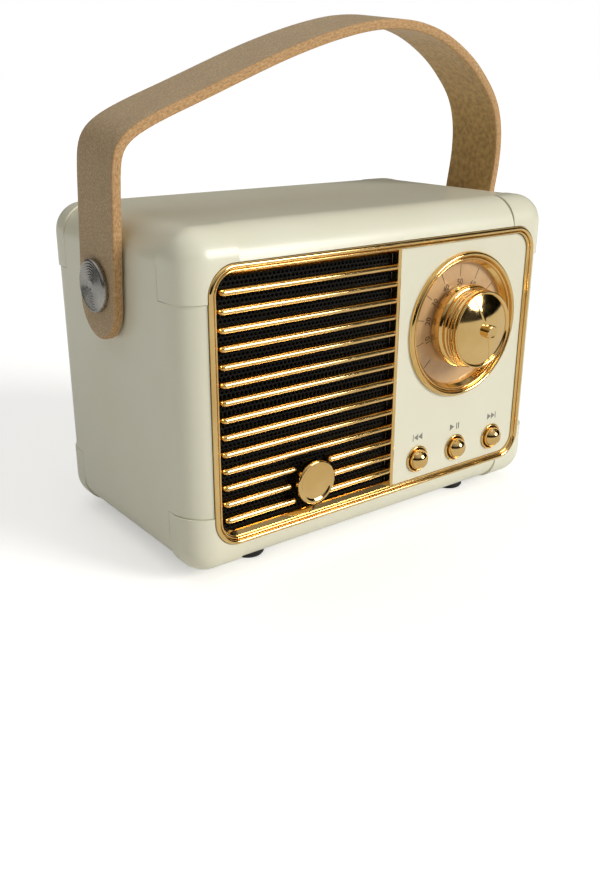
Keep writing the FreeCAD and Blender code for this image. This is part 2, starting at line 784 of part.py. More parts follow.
def speaker_surround():
    inner = speaker_opening - 2.6
    outer = speaker_opening + 1.4
    profile = [(inner, basket_front + 0.6), (inner + 0.8, basket_front + 0.6), (inner + 1.4, basket_front - 0.3),
               (inner + 2.4, basket_front - 0.3), (inner + 3, basket_front + 0.4), (outer, basket_front + 0.4),
               (outer, basket_front + 0.1), (inner + 3.2, basket_front + 0.1), (inner + 2.6, basket_front - 0.6),
               (inner + 1.2, basket_front - 0.6), (inner + 0.6, basket_front + 0.3), (inner, basket_front + 0.3)]
    return turned_y(grille_x, 0, profile)


def speaker_dust_cap():
    rim = coil_radius + 1.2
    y = basket_front + 5.7
    ball = Part.makeSphere(2 * rim, V(grille_x, y + 1.5 * rim, 0))
    hollow = Part.makeSphere(2 * rim - 0.3, V(grille_x, y + 1.5 * rim, 0))
    cap = ball.cut(hollow).common(rod_y(grille_x, 0, rim, y - rim, y + 0.2))
    return cap.cut(speaker_cone())


# ---- boards, battery and sockets --------------------------------------------------------------------------------
def main_board():
    half = main_board_width / 2
    board = box(-half, half, main_board_front, main_board_rear, main_board_bottom, main_board_top)
    return board.cut([rod_z(x, y, screw_shank_radius, main_board_bottom - 1, main_board_top + 1)
                      for x, y in main_post_places()])


def main_chips():
    """Radio and audio chip, amplifier and a power inductor, standing on the board."""
    sizes = [(1.5, 4, 7, 7, 1.0), (-12, 3, 5, 4, 1.5), (14, 4, 4, 4, 2.2)]
    chips = []
    for x, dy, width, depth, height in sizes:
        y = main_board_front + dy
        chips.append(box(x - width / 2, x + width / 2, y, y + depth, main_board_top, main_board_top + height))
    return Part.makeCompound(chips)


def usb_socket():
    mouth = rear - usb_sunk
    half = usb_width / 2
    z0 = main_board_top
    z1 = z0 + usb_height
    shell = box(usb_x - half, usb_x + half, mouth - usb_length, mouth, z0, z1)
    shell = shell.makeFillet(usb_height * 0.42, [e for e in shell.Edges
                                                 if abs(e.tangentAt(e.FirstParameter).y) > 0.99])
    width = half - usb_wall
    inside = box(usb_x - width, usb_x + width, mouth - usb_length + 1, mouth + 1, z0 + usb_wall, z1 - usb_wall)
    inside = inside.makeFillet((usb_height - 2 * usb_wall) * 0.4,
                               [e for e in inside.Edges if abs(e.tangentAt(e.FirstParameter).y) > 0.99])
    middle = (z0 + z1) / 2
    tongue = box(usb_x - 3.3, usb_x + 3.3, mouth - usb_length + 0.5, mouth - 0.6, middle - 0.35, middle + 0.35)
    return fused([shell.cut(inside), tongue])


def card_socket():
    mouth = cover_inner
    half = card_width / 2
    shell = box(card_x - half, card_x + half, mouth - card_length, mouth,
                main_board_top, main_board_top + card_height)
    middle = main_board_top + card_height / 2
    slot = card_slot_width / 2
    return shell.cut(box(card_x - slot, card_x + slot, mouth - card_length + 1.5, mouth + 1,
                         middle - card_slot_height / 2, middle + card_slot_height / 2))


def charge_light():
    z = main_board_top + 1.6
    base = box(light_x - 1.5, light_x + 1.5, main_board_rear - 5, main_board_rear - 1,
               main_board_top, main_board_top + 3)
    return fused([base, rod_y(light_x, z, light_radius, main_board_rear - 2, rear - 0.1)])


def rear_cover():
    cover = plate(cover_width, cover_height, cover_radius, cover_inner, rear)
    z0 = main_board_top - socket_gap
    z1 = main_board_top + usb_height + socket_gap
    half = usb_width / 2 + socket_gap
    usb_hole = box(usb_x - half, usb_x + half, cover_inner - 1, rear + 1, z0, z1)
    usb_hole = usb_hole.makeFillet(1.4, [e for e in usb_hole.Edges
                                         if abs(e.tangentAt(e.FirstParameter).y) > 0.99])
    slot = card_slot_width / 2 + socket_gap
    middle = main_board_top + card_height / 2
    slot_half = card_slot_height / 2 + 0.2
    card_hole = box(card_x - slot, card_x + slot, cover_inner - 1, rear + 1, middle - slot_half, middle + slot_half)
    light_hole = rod_y(light_x, main_board_top + 1.6, light_radius, cover_inner - 1, rear + 1)
    holes = [usb_hole, card_hole, light_hole]
    for x, z in cover_screw_places():
        holes.append(rod_y(x, z, cover_screw_radius, cover_inner - 1, rear + 1))
        holes.append(rod_y(x, z, cover_screw_head_radius, rear - cover_screw_head_height, rear + 1))
    return cover.cut(holes)


def rear_cover_screws():
    screws = []
    for x, z in cover_screw_places():
        head = rod_y(x, z, cover_screw_head_radius, rear - cover_screw_head_height, rear - 0.1)
        shank = rod_y(x, z, cover_screw_radius, cover_inner - cover_screw_length + 1,
                      rear - cover_screw_head_height)
        slots = [box(x - 1, x + 1, rear - 0.6, rear, z - 0.2, z + 0.2),
                 box(x - 0.2, x + 0.2, rear - 0.6, rear, z - 1, z + 1)]
        screws.append(fused([head, shank]).cut(slots))
    return Part.makeCompound(screws)


def speaker_screws():
    back = basket_front + sheet
    screws = [fused([rod_y(x, z, screw_shank_radius, wall_inner, back),
                     rod_y(x, z, speaker_post_radius + 0.6, back, back + screw_head_height)])
              for x, z in speaker_screw_places()]
    return Part.makeCompound(screws)


def board_screws():
    back = button_board_front + board_thickness
    screws = [fused([rod_y(x, z, screw_shank_radius, back - screw_shank_length + 0.5, back),
                     rod_y(x, z, screw_head_radius, back, back + screw_head_height)])
              for x, z in button_post_places()]
    screws += [fused([rod_z(x, y, screw_shank_radius, main_board_top - screw_shank_length + 0.5, main_board_top),
                      rod_z(x, y, screw_head_radius, main_board_top, main_board_top + screw_head_height)])
               for x, y in main_post_places()]
    return Part.makeCompound(screws)


def battery_pad():
    half = battery_length / 2 - 2
    middle = (main_board_front + main_board_rear) / 2
    reach = battery_width / 2 - 2
    return box(-half, half, middle - reach, middle + reach, floor_inner, floor_inner + battery_pad_thickness)


def battery_cell():
    half = battery_length / 2
    middle = (main_board_front + main_board_rear) / 2
    reach = battery_width / 2
    z0 = floor_inner + battery_pad_thickness
    cell = box(-half, half, middle - reach, middle + reach, z0, z0 + battery_height)
    return cell.makeFillet(1.5, [e for e in cell.Edges if abs(e.tangentAt(e.FirstParameter).x) > 0.99])


def lead(start, corner, end, bend):
    """An insulated lead: two straight runs joined by one arc."""
    back = (start - corner).normalize()
    ahead = (end - corner).normalize()
    turn = math.pi - back.getAngle(ahead)
    cut = bend * math.tan(turn / 2)
    arc_in = corner + back * cut
    arc_out = corner + ahead * cut
    inward = (back + ahead).normalize()
    middle = corner + inward * (bend / math.cos(turn / 2) - bend)
    path = Part.Wire([Part.makeLine(start, arc_in), Part.Arc(arc_in, middle, arc_out).toShape(),
                      Part.makeLine(arc_out, end)])
    ring = Part.Wire([Part.Circle(start, corner - start, lead_radius).toShape()])
    return path.makePipeShell([ring], True, False)


def internal_leads():
    """Two speaker leads from the basket's terminal and two battery leads to the board."""
    middle = (main_board_front + main_board_rear) / 2
    battery_z = floor_inner + battery_pad_thickness + battery_height / 2
    leads = []
    for i in (0, 1):
        x = grille_x + 7.2 + 1.6 * i
        terminal = V(x, basket_front + 3.3, -speaker_opening - 1)
        z = main_board_bottom + board_thickness / 2
        leads.append(lead(terminal, V(x, main_board_front - 4, z),
                          V(x, main_board_front - lead_solder_gap, z), 3))
        y = middle - 2 + 3 * i
        x_out = battery_length / 2 + 3
        leads.append(lead(V(battery_length / 2, y, battery_z), V(x_out, y, battery_z),
                          V(x_out, y, main_board_bottom), 2))
    return Part.makeCompound(leads)


def main():
    os.makedirs("parts", exist_ok=True)
    nodes = {"cabinet_shell": cabinet_shell(), "rear_cover": rear_cover()}
    nodes.update(corner_guards())
    nodes["grille_frame"] = grille_frame()
    nodes["grille_mesh"] = grille_mesh()
    nodes["grille_badge"] = grille_badge()
    nodes["control_panel"] = control_panel()
    nodes["dial_ring"] = dial_ring()
    nodes["dial_plate"] = dial_plate()
    nodes["volume_knob"] = volume_knob()
    nodes["volume_shaft"] = volume_shaft()
    nodes["volume_bushing"] = volume_bushing()
    nodes["volume_washer"] = volume_washer()
    nodes["volume_nut"] = volume_nut()
    nodes["volume_case"] = volume_case()
    for name, x in zip(("previous", "play", "next"), button_x):
        nodes[name + "_button"] = push_button(x)
        nodes[name + "_switch_plunger"] = switch_plunger(x)
    nodes["button_rings"] = button_rings()
    nodes["switch_bodies"] = switch_bodies()
    nodes["button_board"] = button_board()
    nodes["carry_strap"] = carry_strap()
    for name, sign in (("left", -1), ("right", 1)):
        nodes["strap_screw_" + name] = strap_screw(sign)
        nodes["strap_washer_" + name] = strap_washer(sign)
    nodes["strap_inserts"] = strap_inserts()
    for name, (x, y) in foot_places().items():
        nodes["foot_" + name] = foot(x, y)
    nodes["speaker_gasket"] = speaker_gasket()
    nodes["speaker_basket"] = speaker_basket()
    nodes["speaker_magnet"] = speaker_magnet()
    nodes["speaker_yoke"] = speaker_yoke()
    nodes["speaker_voice_coil"] = speaker_voice_coil()
    nodes["speaker_cone"] = speaker_cone()
    nodes["speaker_surround"] = speaker_surround()
    nodes["speaker_dust_cap"] = speaker_dust_cap()
    nodes["speaker_screws"] = speaker_screws()
    nodes["main_board"] = main_board()
    nodes["main_chips"] = main_chips()
    nodes["usb_socket"] = usb_socket()
    nodes["card_socket"] = card_socket()
    nodes["charge_light"] = charge_light()
    nodes["battery_pad"] = battery_pad()
    nodes["battery_cell"] = battery_cell()
    nodes["board_screws"] = board_screws()
    nodes["rear_cover_screws"] = rear_cover_screws()
    nodes["internal_leads"] = internal_leads()
    for name, shape in nodes.items():
        print(name, shape.ShapeType, len(shape.Solids), round(shape.Volume, 1), shape.isValid())
        save(name, shape)


main()
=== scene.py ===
import json
import math

import bmesh
import bpy
import numpy as np
from mathutils import Euler, Matrix, Vector


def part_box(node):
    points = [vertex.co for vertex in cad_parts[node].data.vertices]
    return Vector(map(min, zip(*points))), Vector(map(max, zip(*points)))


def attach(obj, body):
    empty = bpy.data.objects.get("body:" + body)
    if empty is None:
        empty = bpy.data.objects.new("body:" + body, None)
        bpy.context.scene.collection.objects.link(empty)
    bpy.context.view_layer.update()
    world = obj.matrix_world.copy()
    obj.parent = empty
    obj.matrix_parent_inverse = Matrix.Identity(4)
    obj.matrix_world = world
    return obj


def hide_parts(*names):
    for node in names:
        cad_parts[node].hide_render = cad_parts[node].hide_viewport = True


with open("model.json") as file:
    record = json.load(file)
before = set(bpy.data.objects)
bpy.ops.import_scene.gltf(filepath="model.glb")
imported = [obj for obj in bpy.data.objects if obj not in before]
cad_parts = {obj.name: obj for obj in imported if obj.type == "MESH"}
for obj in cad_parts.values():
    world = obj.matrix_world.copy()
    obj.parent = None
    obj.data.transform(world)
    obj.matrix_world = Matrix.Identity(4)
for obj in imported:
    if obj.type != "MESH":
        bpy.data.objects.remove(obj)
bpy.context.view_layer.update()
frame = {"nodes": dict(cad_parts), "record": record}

# The looks of a small retro tabletop radio. Pieces are drawn in millimetres about the middle of
# the cabinet (X right, the front faces -Y, Z up), and put() turns that into metres in the row frame.

shell_low, shell_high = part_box("cabinet_shell")
MIDDLE = (shell_low + shell_high) / 2


def put(x, y, z):
    return (MIDDLE.x + x / 1000, MIDDLE.y + y / 1000, MIDDLE.z + z / 1000)


def span(node):
    """Lowest and highest corner of a CAD node, in millimetres about the middle of the cabinet."""
    low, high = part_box(node)
    return (low - MIDDLE) * 1000, (high - MIDDLE) * 1000


# ---- camera ----------------------------------------------------------------------------------
camera = bpy.data.objects.new("camera", bpy.data.cameras.new("camera"))
bpy.context.scene.collection.objects.link(camera)
camera.data.lens = 37.877
camera.data.sensor_width = 36
camera.data.clip_start = 0.01
turn = Euler((math.radians(90 - 21.37), 0, math.radians(-37.20))).to_matrix().to_4x4()
camera.matrix_world = (Matrix.Translation(put(-113.9, -148.305, 51.4)) @ turn
                       @ Matrix.Rotation(math.radians(0.158), 4, "Z"))
bpy.context.scene.camera = camera
bpy.context.scene.view_settings.view_transform = "Standard"


# ---- materials -------------------------------------------------------------------------------
def node_graph(name):
    material = bpy.data.materials.new(name)
    material.use_nodes = True
    nodes = material.node_tree.nodes
    shader = nodes["Principled BSDF"]
    return material, nodes, material.node_tree.links, shader


def coordinates(nodes, links, scale, stretch=(1, 1, 1), source="Object"):
    where = nodes.new("ShaderNodeTexCoord")
    mapping = nodes.new("ShaderNodeMapping")
    mapping.inputs["Scale"].default_value = [scale * s for s in stretch]
    links.new(where.outputs[source], mapping.inputs["Vector"])
    return mapping.outputs["Vector"]


def noise_of(nodes, links, vector, scale=1.0, detail=4.0, rough=0.55):
    texture = nodes.new("ShaderNodeTexNoise")
    texture.inputs["Scale"].default_value = scale
    texture.inputs["Detail"].default_value = detail
    texture.inputs["Roughness"].default_value = rough
    links.new(vector, texture.inputs["Vector"])
    return texture.outputs["Fac"]


def ramp_of(nodes, links, value, stops):
    ramp = nodes.new("ShaderNodeValToRGB")
    while len(ramp.color_ramp.elements) < len(stops):
        ramp.color_ramp.elements.new(0.5)
    for element, (at, colour) in zip(ramp.color_ramp.elements, stops):
        element.position = at
        element.color = (*colour, 1)
    links.new(value, ramp.inputs["Fac"])
    return ramp.outputs["Color"]


def range_of(nodes, links, value, low, high, start=0.3, end=0.7):
    spread = nodes.new("ShaderNodeMapRange")
    spread.inputs["From Min"].default_value = start
    spread.inputs["From Max"].default_value = end
    spread.inputs["To Min"].default_value = low
    spread.inputs["To Max"].default_value = high
    links.new(value, spread.inputs["Value"])
    return spread.outputs["Result"]


def bump_of(nodes, links, height, depth_mm, under=None):
    bump = nodes.new("ShaderNodeBump")
    bump.inputs["Strength"].default_value = 1.0
    bump.inputs["Distance"].default_value = depth_mm / 1000
    links.new(height, bump.inputs["Height"])
    if under is not None:
        links.new(under, bump.inputs["Normal"])
    return bump.outputs["Normal"]


def mottled(name, light, dark, size_mm, rough, metal=0.0, grain_mm=0.3, grain_depth=0.004,
            stretch=(1, 1, 1), source="Object", **sockets):
    """A finish whose colour drifts between two tones, with its own grain in roughness and relief."""
    material, nodes, links, shader = node_graph(name)
    drift = noise_of(nodes, links, coordinates(nodes, links, 1000 / size_mm, stretch, source))
    links.new(ramp_of(nodes, links, drift, [(0.35, dark), (0.65, light)]), shader.inputs["Base Color"])
    grain = noise_of(nodes, links, coordinates(nodes, links, 1000 / grain_mm, stretch, source), detail=3)
    links.new(range_of(nodes, links, grain, *rough), shader.inputs["Roughness"])
    links.new(bump_of(nodes, links, grain, grain_depth), shader.inputs["Normal"])
    shader.inputs["Metallic"].default_value = metal
    for socket, value in sockets.items():
        shader.inputs[socket.replace("_", " ")].default_value = value
    return material


def leather(name, light, dark, vein, pit_depth):
    """Grained leather: small cells, darker in the creases, over a slow drift of colour."""
    material, nodes, links, shader = node_graph(name)
    drift = noise_of(nodes, links, coordinates(nodes, links, 120), detail=6, rough=0.65)
    base = ramp_of(nodes, links, drift, [(0.3, dark), (0.7, light)])
    cells = nodes.new("ShaderNodeTexVoronoi")
    cells.feature = "DISTANCE_TO_EDGE"
    cells.inputs["Scale"].default_value = 1.0
    warped = nodes.new("ShaderNodeVectorMath")
    warped.operation = "ADD"
    wobble = nodes.new("ShaderNodeTexNoise")
    wobble.inputs["Scale"].default_value = 1500
    at = coordinates(nodes, links, 1750)
    links.new(at, warped.inputs[0])
    links.new(wobble.outputs["Color"], warped.inputs[1])
    links.new(warped.outputs["Vector"], cells.inputs["Vector"])
    creases = range_of(nodes, links, cells.outputs["Distance"], 0, 1, 0.0, 0.22)
    blend = nodes.new("ShaderNodeMix")
    blend.data_type = "RGBA"
    blend.inputs["A"].default_value = (*vein, 1)
    links.new(creases, blend.inputs["Factor"])
    links.new(base, blend.inputs["B"])
    links.new(blend.outputs["Result"], shader.inputs["Base Color"])
    fine = noise_of(nodes, links, coordinates(nodes, links, 6000), detail=3)
    links.new(range_of(nodes, links, fine, 0.42, 0.62), shader.inputs["Roughness"])
    relief = bump_of(nodes, links, fine, 0.01)
    links.new(bump_of(nodes, links, creases, pit_depth, relief), shader.inputs["Normal"])
    shader.inputs["Specular IOR Level"].default_value = 0.45
    shader.inputs["Sheen Weight"].default_value = 0.12
    return material


def rgb(red, green, blue):
    """Linear colour of an sRGB tone given from 0 to 255."""
    return tuple((c / 255 / 12.92) if c < 11 else ((c / 255 + 0.055) / 1.055) ** 2.4
                 for c in (red, green, blue))


finishes = {
    "cream_plastic": mottled("cream_plastic", rgb(238, 236, 214), rgb(234, 231, 207), 30, (0.30, 0.40),
                             grain_mm=0.35, grain_depth=0.0025, Coat_Weight=0.25, Coat_Roughness=0.18),
    "gold_metal": mottled("gold_metal", rgb(240, 206, 140), rgb(228, 190, 122), 9, (0.06, 0.13), 1.0,
                          grain_mm=1.4, grain_depth=0.0012),
    "black_mesh": mottled("black_mesh", rgb(8, 8, 6), rgb(4, 4, 3), 2, (0.5, 0.7),
                          grain_mm=0.2, grain_depth=0.006, Specular_IOR_Level=0.15),
    "dial_card": mottled("dial_card", rgb(226, 190, 142), rgb(212, 172, 124), 6, (0.3, 0.44),
                         grain_mm=0.12, grain_depth=0.003, Metallic=0.1, Coat_Weight=0.3),
    "strap_leather": leather("strap_leather", rgb(214, 186, 140), rgb(198, 169, 124),
                             rgb(172, 142, 102), 0.015),
    "polished_steel": mottled("polished_steel", rgb(176, 174, 168), rgb(146, 144, 140), 5, (0.2, 0.34), 1.0,
                              grain_mm=0.5, grain_depth=0.002),
    "brass": mottled("brass", rgb(214, 178, 104), rgb(186, 148, 78), 3, (0.2, 0.36), 1.0),
    "black_rubber": mottled("black_rubber", rgb(30, 30, 30), rgb(18, 18, 18), 2, (0.6, 0.8),
                            grain_mm=0.25, grain_depth=0.02),
    "steel": mottled("steel", rgb(176, 176, 174), rgb(140, 140, 138), 3, (0.28, 0.46), 1.0),
    "foam_rubber": mottled("foam_rubber", rgb(54, 54, 56), rgb(30, 30, 32), 1, (0.8, 0.95),
                           grain_mm=0.4, grain_depth=0.08),
    "magnet_ferrite": mottled("magnet_ferrite", rgb(64, 62, 62), rgb(40, 39, 40), 2, (0.5, 0.7)),
    "coil_copper": mottled("coil_copper", rgb(190, 108, 62), rgb(146, 74, 40), 0.4, (0.25, 0.4), 1.0,
                           stretch=(0.2, 1, 0.2)),
    "speaker_paper": mottled("speaker_paper", rgb(62, 60, 58), rgb(36, 34, 33), 1.2, (0.75, 0.9),
                             grain_mm=0.3, grain_depth=0.05),
    "circuit_board": mottled("circuit_board", rgb(22, 92, 54), rgb(12, 66, 38), 2.5, (0.3, 0.5),
                             grain_mm=0.5, grain_depth=0.01, Coat_Weight=0.4),
    "black_plastic": mottled("black_plastic", rgb(34, 34, 36), rgb(20, 20, 21), 3, (0.35, 0.5)),
    "battery_foil": mottled("battery_foil", rgb(186, 190, 196), rgb(150, 154, 162), 6, (0.3, 0.5), 0.7,
                            grain_mm=1.5, grain_depth=0.05),
    "lead_insulation": mottled("lead_insulation", rgb(178, 36, 30), rgb(140, 24, 20), 4, (0.4, 0.55)),
    "clear_plastic": mottled("clear_plastic", rgb(222, 226, 228), rgb(196, 202, 206), 2, (0.1, 0.2),
                             Transmission_Weight=0.6),
}
ink = mottled("dial_ink", rgb(70, 46, 26), rgb(48, 30, 16), 1, (0.5, 0.65), grain_mm=0.1, grain_depth=0.002)
grey_ink = mottled("symbol_ink", rgb(150, 149, 136), rgb(128, 127, 116), 1, (0.5, 0.65),
                   grain_mm=0.1, grain_depth=0.002)
edge_leather = mottled("strap_edge_leather", rgb(214, 174, 124), rgb(176, 134, 88), 0.3, (0.75, 0.92),
                       grain_mm=0.14, grain_depth=0.05, stretch=(0.45, 1, 1), source="UV")
suede = mottled("strap_suede", rgb(206, 168, 104), rgb(170, 134, 78), 0.9, (0.85, 0.98),
                grain_mm=0.16, grain_depth=0.07, Sheen_Weight=0.4)

for part in frame["record"]["subparts"]:
    node = frame["nodes"][part["node"]]
    node.data.materials.clear()
    node.data.materials.append(finishes[part["material_slot"]])


# ---- mesh helpers ----------------------------------------------------------------------------
def piece(name, shape, slot, body="cabinet", nodes=(), sharp=38, material=None):
    """A new object from (vertices in mm, faces), riding on its body and standing for CAD nodes."""
    vertices, faces = shape
    mesh = bpy.data.meshes.new(name)
    mesh.from_pydata([put(*v) for v in vertices], [], faces)
    tidy = bmesh.new()
    tidy.from_mesh(mesh)
    bmesh.ops.remove_doubles(tidy, verts=tidy.verts, dist=1e-7)
    bmesh.ops.recalc_face_normals(tidy, faces=tidy.faces)
    tidy.to_mesh(mesh)
    tidy.free()
    mesh.materials.append(material or finishes[slot])
    mesh.shade_smooth()
    mesh.set_sharp_from_angle(angle=math.radians(sharp))
    new = bpy.data.objects.new(name, mesh)
    bpy.context.scene.collection.objects.link(new)
    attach(new, body)
    if nodes:
        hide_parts(*nodes)
    return new


def together(*shapes):
    vertices, faces = [], []
    for more, loops in shapes:
        faces += [tuple(i + len(vertices) for i in loop) for loop in loops]
        vertices += more
    return vertices, faces


def softened(points, radius, steps=4, closed=False):
    """A polyline whose corners are rounded, each by no more than its runs allow."""
    result = []
    count = len(points)
    for i, point in enumerate(points):
        if not closed and i in (0, count - 1):
            result.append(point)
            continue
        p = Vector(point)
        a = Vector(points[i - 1]) - p
        b = Vector(points[(i + 1) % count]) - p
        turn = math.pi - a.angle(b, 0)
        if turn < 0.05:
            result.append(point)
            continue
        cut = min(radius * math.tan(turn / 2), 0.45 * a.length, 0.45 * b.length)
        start, end = p + a.normalized() * cut, p + b.normalized() * cut
        for k in range(steps + 1):
            t = k / steps
            result.append(tuple(start * (1 - t) ** 2 + p * 2 * t * (1 - t) + end * t * t))
    return result


def turned(centre, profile, axis="y", steps=128, closed=False):
    """Turns (radius, along) points about an axis through centre, a pair of mm values."""
    vertices, rows = [], []
    for radius, along in profile:
        if radius < 1e-6:
            ring = [(0.0, 0.0)]
        else:
            ring = [(radius * math.cos(2 * math.pi * k / steps), radius * math.sin(2 * math.pi * k / steps))
                    for k in range(steps)]
        rows.append((len(vertices), len(ring)))
        for u, v in ring:
            if axis == "y":
                vertices.append((centre[0] + u, along, centre[1] + v))
            elif axis == "x":
                vertices.append((along, centre[0] + u, centre[1] + v))
            else:
                vertices.append((centre[0] + u, centre[1] + v, along))
    faces = []
    pairs = list(zip(rows, rows[1:] + (rows[:1] if closed else [])))
    for (a, size_a), (b, size_b) in pairs:
        if size_a == size_b == 1:
            continue
        for k in range(steps):
            n = (k + 1) % steps
            if size_a == 1:
                faces.append((a, b + k, b + n))
            elif size_b == 1:
                faces.append((a + k, b, a + n))
            else:
                faces.append((a + k, b + k, b + n, a + n))
    return vertices, faces


def swept(path, profile, closed_path=True, closed_profile=True):
    """Carries (inward, y) points along path, a list of (x, z, inward x, inward z)."""
    vertices = [(x + d * u, y, z + d * w) for x, z, u, w in path for d, y in profile]
    rows, columns = len(path), len(profile)
    faces = []
    for i in range(rows if closed_path else rows - 1):
        n = (i + 1) % rows
        for k in range(columns if closed_profile else columns - 1):
            m = (k + 1) % columns
            faces.append((i * columns + k, i * columns + m, n * columns + m, n * columns + k))
    if not closed_path and closed_profile:
        faces.append(tuple(range(columns)))
        faces.append(tuple(range((rows - 1) * columns, rows * columns)))
    return vertices, faces


def corner(cx, cz, radius, start, steps=20):
    """A quarter turn of a path, from start degrees on."""
    path = []
    for k in range(steps + 1):
        angle = math.radians(start + 90 * k / steps)
        u, w = math.cos(angle), math.sin(angle)
        path.append((cx + radius * u, cz + radius * w, -u, -w))
    return path


def drawn(outline, y0, y1):
    """A flat plate between two depths from an (x, z) outline."""
    count = len(outline)
    vertices = [(x, y1, z) for x, z in outline] + [(x, y0, z) for x, z in outline]
    faces = [tuple(range(count)), tuple(range(count, 2 * count))]
    faces += [(k, (k + 1) % count, count + (k + 1) % count, count + k) for k in range(count)]
    return vertices, faces


# ---- sizes read from the frame -----------------------------------------------------------------
frame_low, frame_high = span("grille_frame")
panel_low, panel_high = span("control_panel")
mesh_low, mesh_high = span("grille_mesh")
badge_low, badge_high = span("grille_badge")
ring_low, ring_high = span("dial_ring")
plate_low, plate_high = span("dial_plate")
knob_low, knob_high = span("volume_knob")
FRONT = (shell_low.y - MIDDLE.y) * 1000
SEAT = frame_high.y
DIAL = ((ring_low.x + ring_high.x) / 2, (ring_low.z + ring_high.z) / 2)
BADGE = ((badge_low.x + badge_high.x) / 2, (badge_low.z + badge_high.z) / 2)
PANEL_FACE = panel_low.y
GRILLE_RIGHT = mesh_high.x + 0.1
GRILLE_LEFT = mesh_low.x - 0.1
DIVIDER_RIGHT = panel_low.x
DIVIDER_LEFT = GRILLE_RIGHT
HALF_WIDTH = frame_high.x
HALF_HEIGHT = frame_high.z
FRAME_RADIUS = 5.0
BAR_PITCH = 3.06
BAR_COUNT = 14
BEAD = 1.35                     # width of the bead all round the frame
BAND = 0.9                      # width of the sloping band on the grille's side


# ---- gold frame ---------------------------------------------------------------------------------
def bead_profile():
    """A round outer bead, a narrow groove and a small inner ridge, from the outside in."""
    crest = frame_low.y
    outer = [(0.0, SEAT), (0.0, crest + 0.5)]
    outer += [(0.43 - 0.43 * math.cos(a), crest + 0.5 - 0.5 * math.sin(a))
              for a in [math.pi * k / 12 for k in range(1, 12)]]
    outer += [(0.86, crest + 0.52), (0.9, crest + 0.85), (0.95, crest + 0.85)]
    outer += [(1.15 - 0.2 * math.cos(a), crest + 0.6 - 0.28 * math.sin(a))
              for a in [math.pi * k / 8 for k in range(0, 9)]]
    return outer + [(BEAD, SEAT)]


def frame_piece():
    w, h, r = HALF_WIDTH, HALF_HEIGHT, FRAME_RADIUS
    outline = (corner(w - r, h - r, r, 0) + corner(-w + r, h - r, r, 90)
               + corner(-w + r, -h + r, r, 180) + corner(w - r, -h + r, r, 270))
    bead = swept(outline, bead_profile())
    # The band slopes from the inner ridge down to the mesh, on the left, the top and the bottom.
    wi, hi, ri = w - BEAD, h - BEAD, r - BEAD
    around = ([(DIVIDER_RIGHT - 0.1, hi, 0, -1), (-wi + ri + 4, hi, 0, -1)]
              + corner(-wi + ri, hi - ri, ri, 90)
              + corner(-wi + ri, -hi + ri, ri, 180) + [(DIVIDER_RIGHT - 0.1, -hi, 0, 1)])
    crest = FRONT + 0.25
    band = softened([(-0.02, SEAT), (-0.02, crest), (0.12, crest), (BAND - 0.12, SEAT - 0.75),
                     (BAND, SEAT - 0.55), (BAND, SEAT)], 0.1, 3)
    sides = swept(around, band, closed_path=False)
    # The divider stands between the grille and the panel.
    x0, x1 = DIVIDER_LEFT, DIVIDER_RIGHT
    section = softened([(x0, SEAT), (x0, FRONT + 0.1), ((x0 + x1) / 2, FRONT - 0.02), (x1, FRONT + 0.1),
                        (x1, SEAT)], 0.3, 5)
    bottom, top = -hi - 0.1, hi + 0.1
    count = len(section)
    vertices = [(x, y, bottom) for x, y in section] + [(x, y, top) for x, y in section]
    faces = [(k, (k + 1) % count, count + (k + 1) % count, count + k) for k in range(count)]
    faces += [tuple(range(count)), tuple(range(count, 2 * count))]
    return bead, sides, (vertices, faces)


def bar(x0, x1, z, half=0.68, crest=FRONT + 0.05, back=SEAT):
    """A half-round rod with rounded ends."""
    quarter = [math.pi / 2 * k / 8 for k in range(9)]
    along = [(x0 + half * (1 - math.cos(a)), math.sin(a)) for a in quarter]
    along += [(x1 + x0 - x, share) for x, share in reversed(along)]
    depth = back - crest
    columns = 13
    vertices, faces = [], []
    for x, share in along:
        share = max(share, 0.04)
        for k in range(columns):
            angle = math.pi * k / (columns - 1)
            reach = 0.62 * share + 0.38 * min(1, share * 1.4)
            vertices.append((x, back - depth * (0.38 * min(1, share * 3)
                                                + 0.62 * reach * math.sin(angle)),
                             z + half * share * math.cos(angle)))
        vertices.append((x, back, z - half * share))
        vertices.append((x, back, z + half * share))
    n = columns + 2
    for i in range(len(along) - 1):
        for k in range(n):
            m = (k + 1) % n
            faces.append((i * n + k, i * n + m, (i + 1) * n + m, (i + 1) * n + k))
    faces.append(tuple(range(n)))
    faces.append(tuple(range((len(along) - 1) * n, len(along) * n)))
    return vertices, faces


def bars():
    """The grille's bars, the ones beside the badge in two lengths that stop short of it."""
    shapes = []
    clear = (badge_high.x - badge_low.x) / 2 + 0.4
    for i in range(BAR_COUNT):
        z = (i - (BAR_COUNT - 1) / 2) * BAR_PITCH
        left, right = GRILLE_LEFT + 0.12, GRILLE_RIGHT + 0.3
        if i in (0, BAR_COUNT - 1):
            left += 0.22
        offset = abs(z - BADGE[1])
        if offset < clear + 0.6:
            reach = math.sqrt((clear + 0.6) ** 2 - offset ** 2) - 0.6
            shapes.append(bar(left, BADGE[0] - reach, z))
            shapes.append(bar(BADGE[0] + reach, right, z))
        else:
            shapes.append(bar(left, right, z))
    return shapes


piece("gold_grille_frame", together(*frame_piece(), *bars()), "gold_metal", nodes=["grille_frame"], sharp=50)


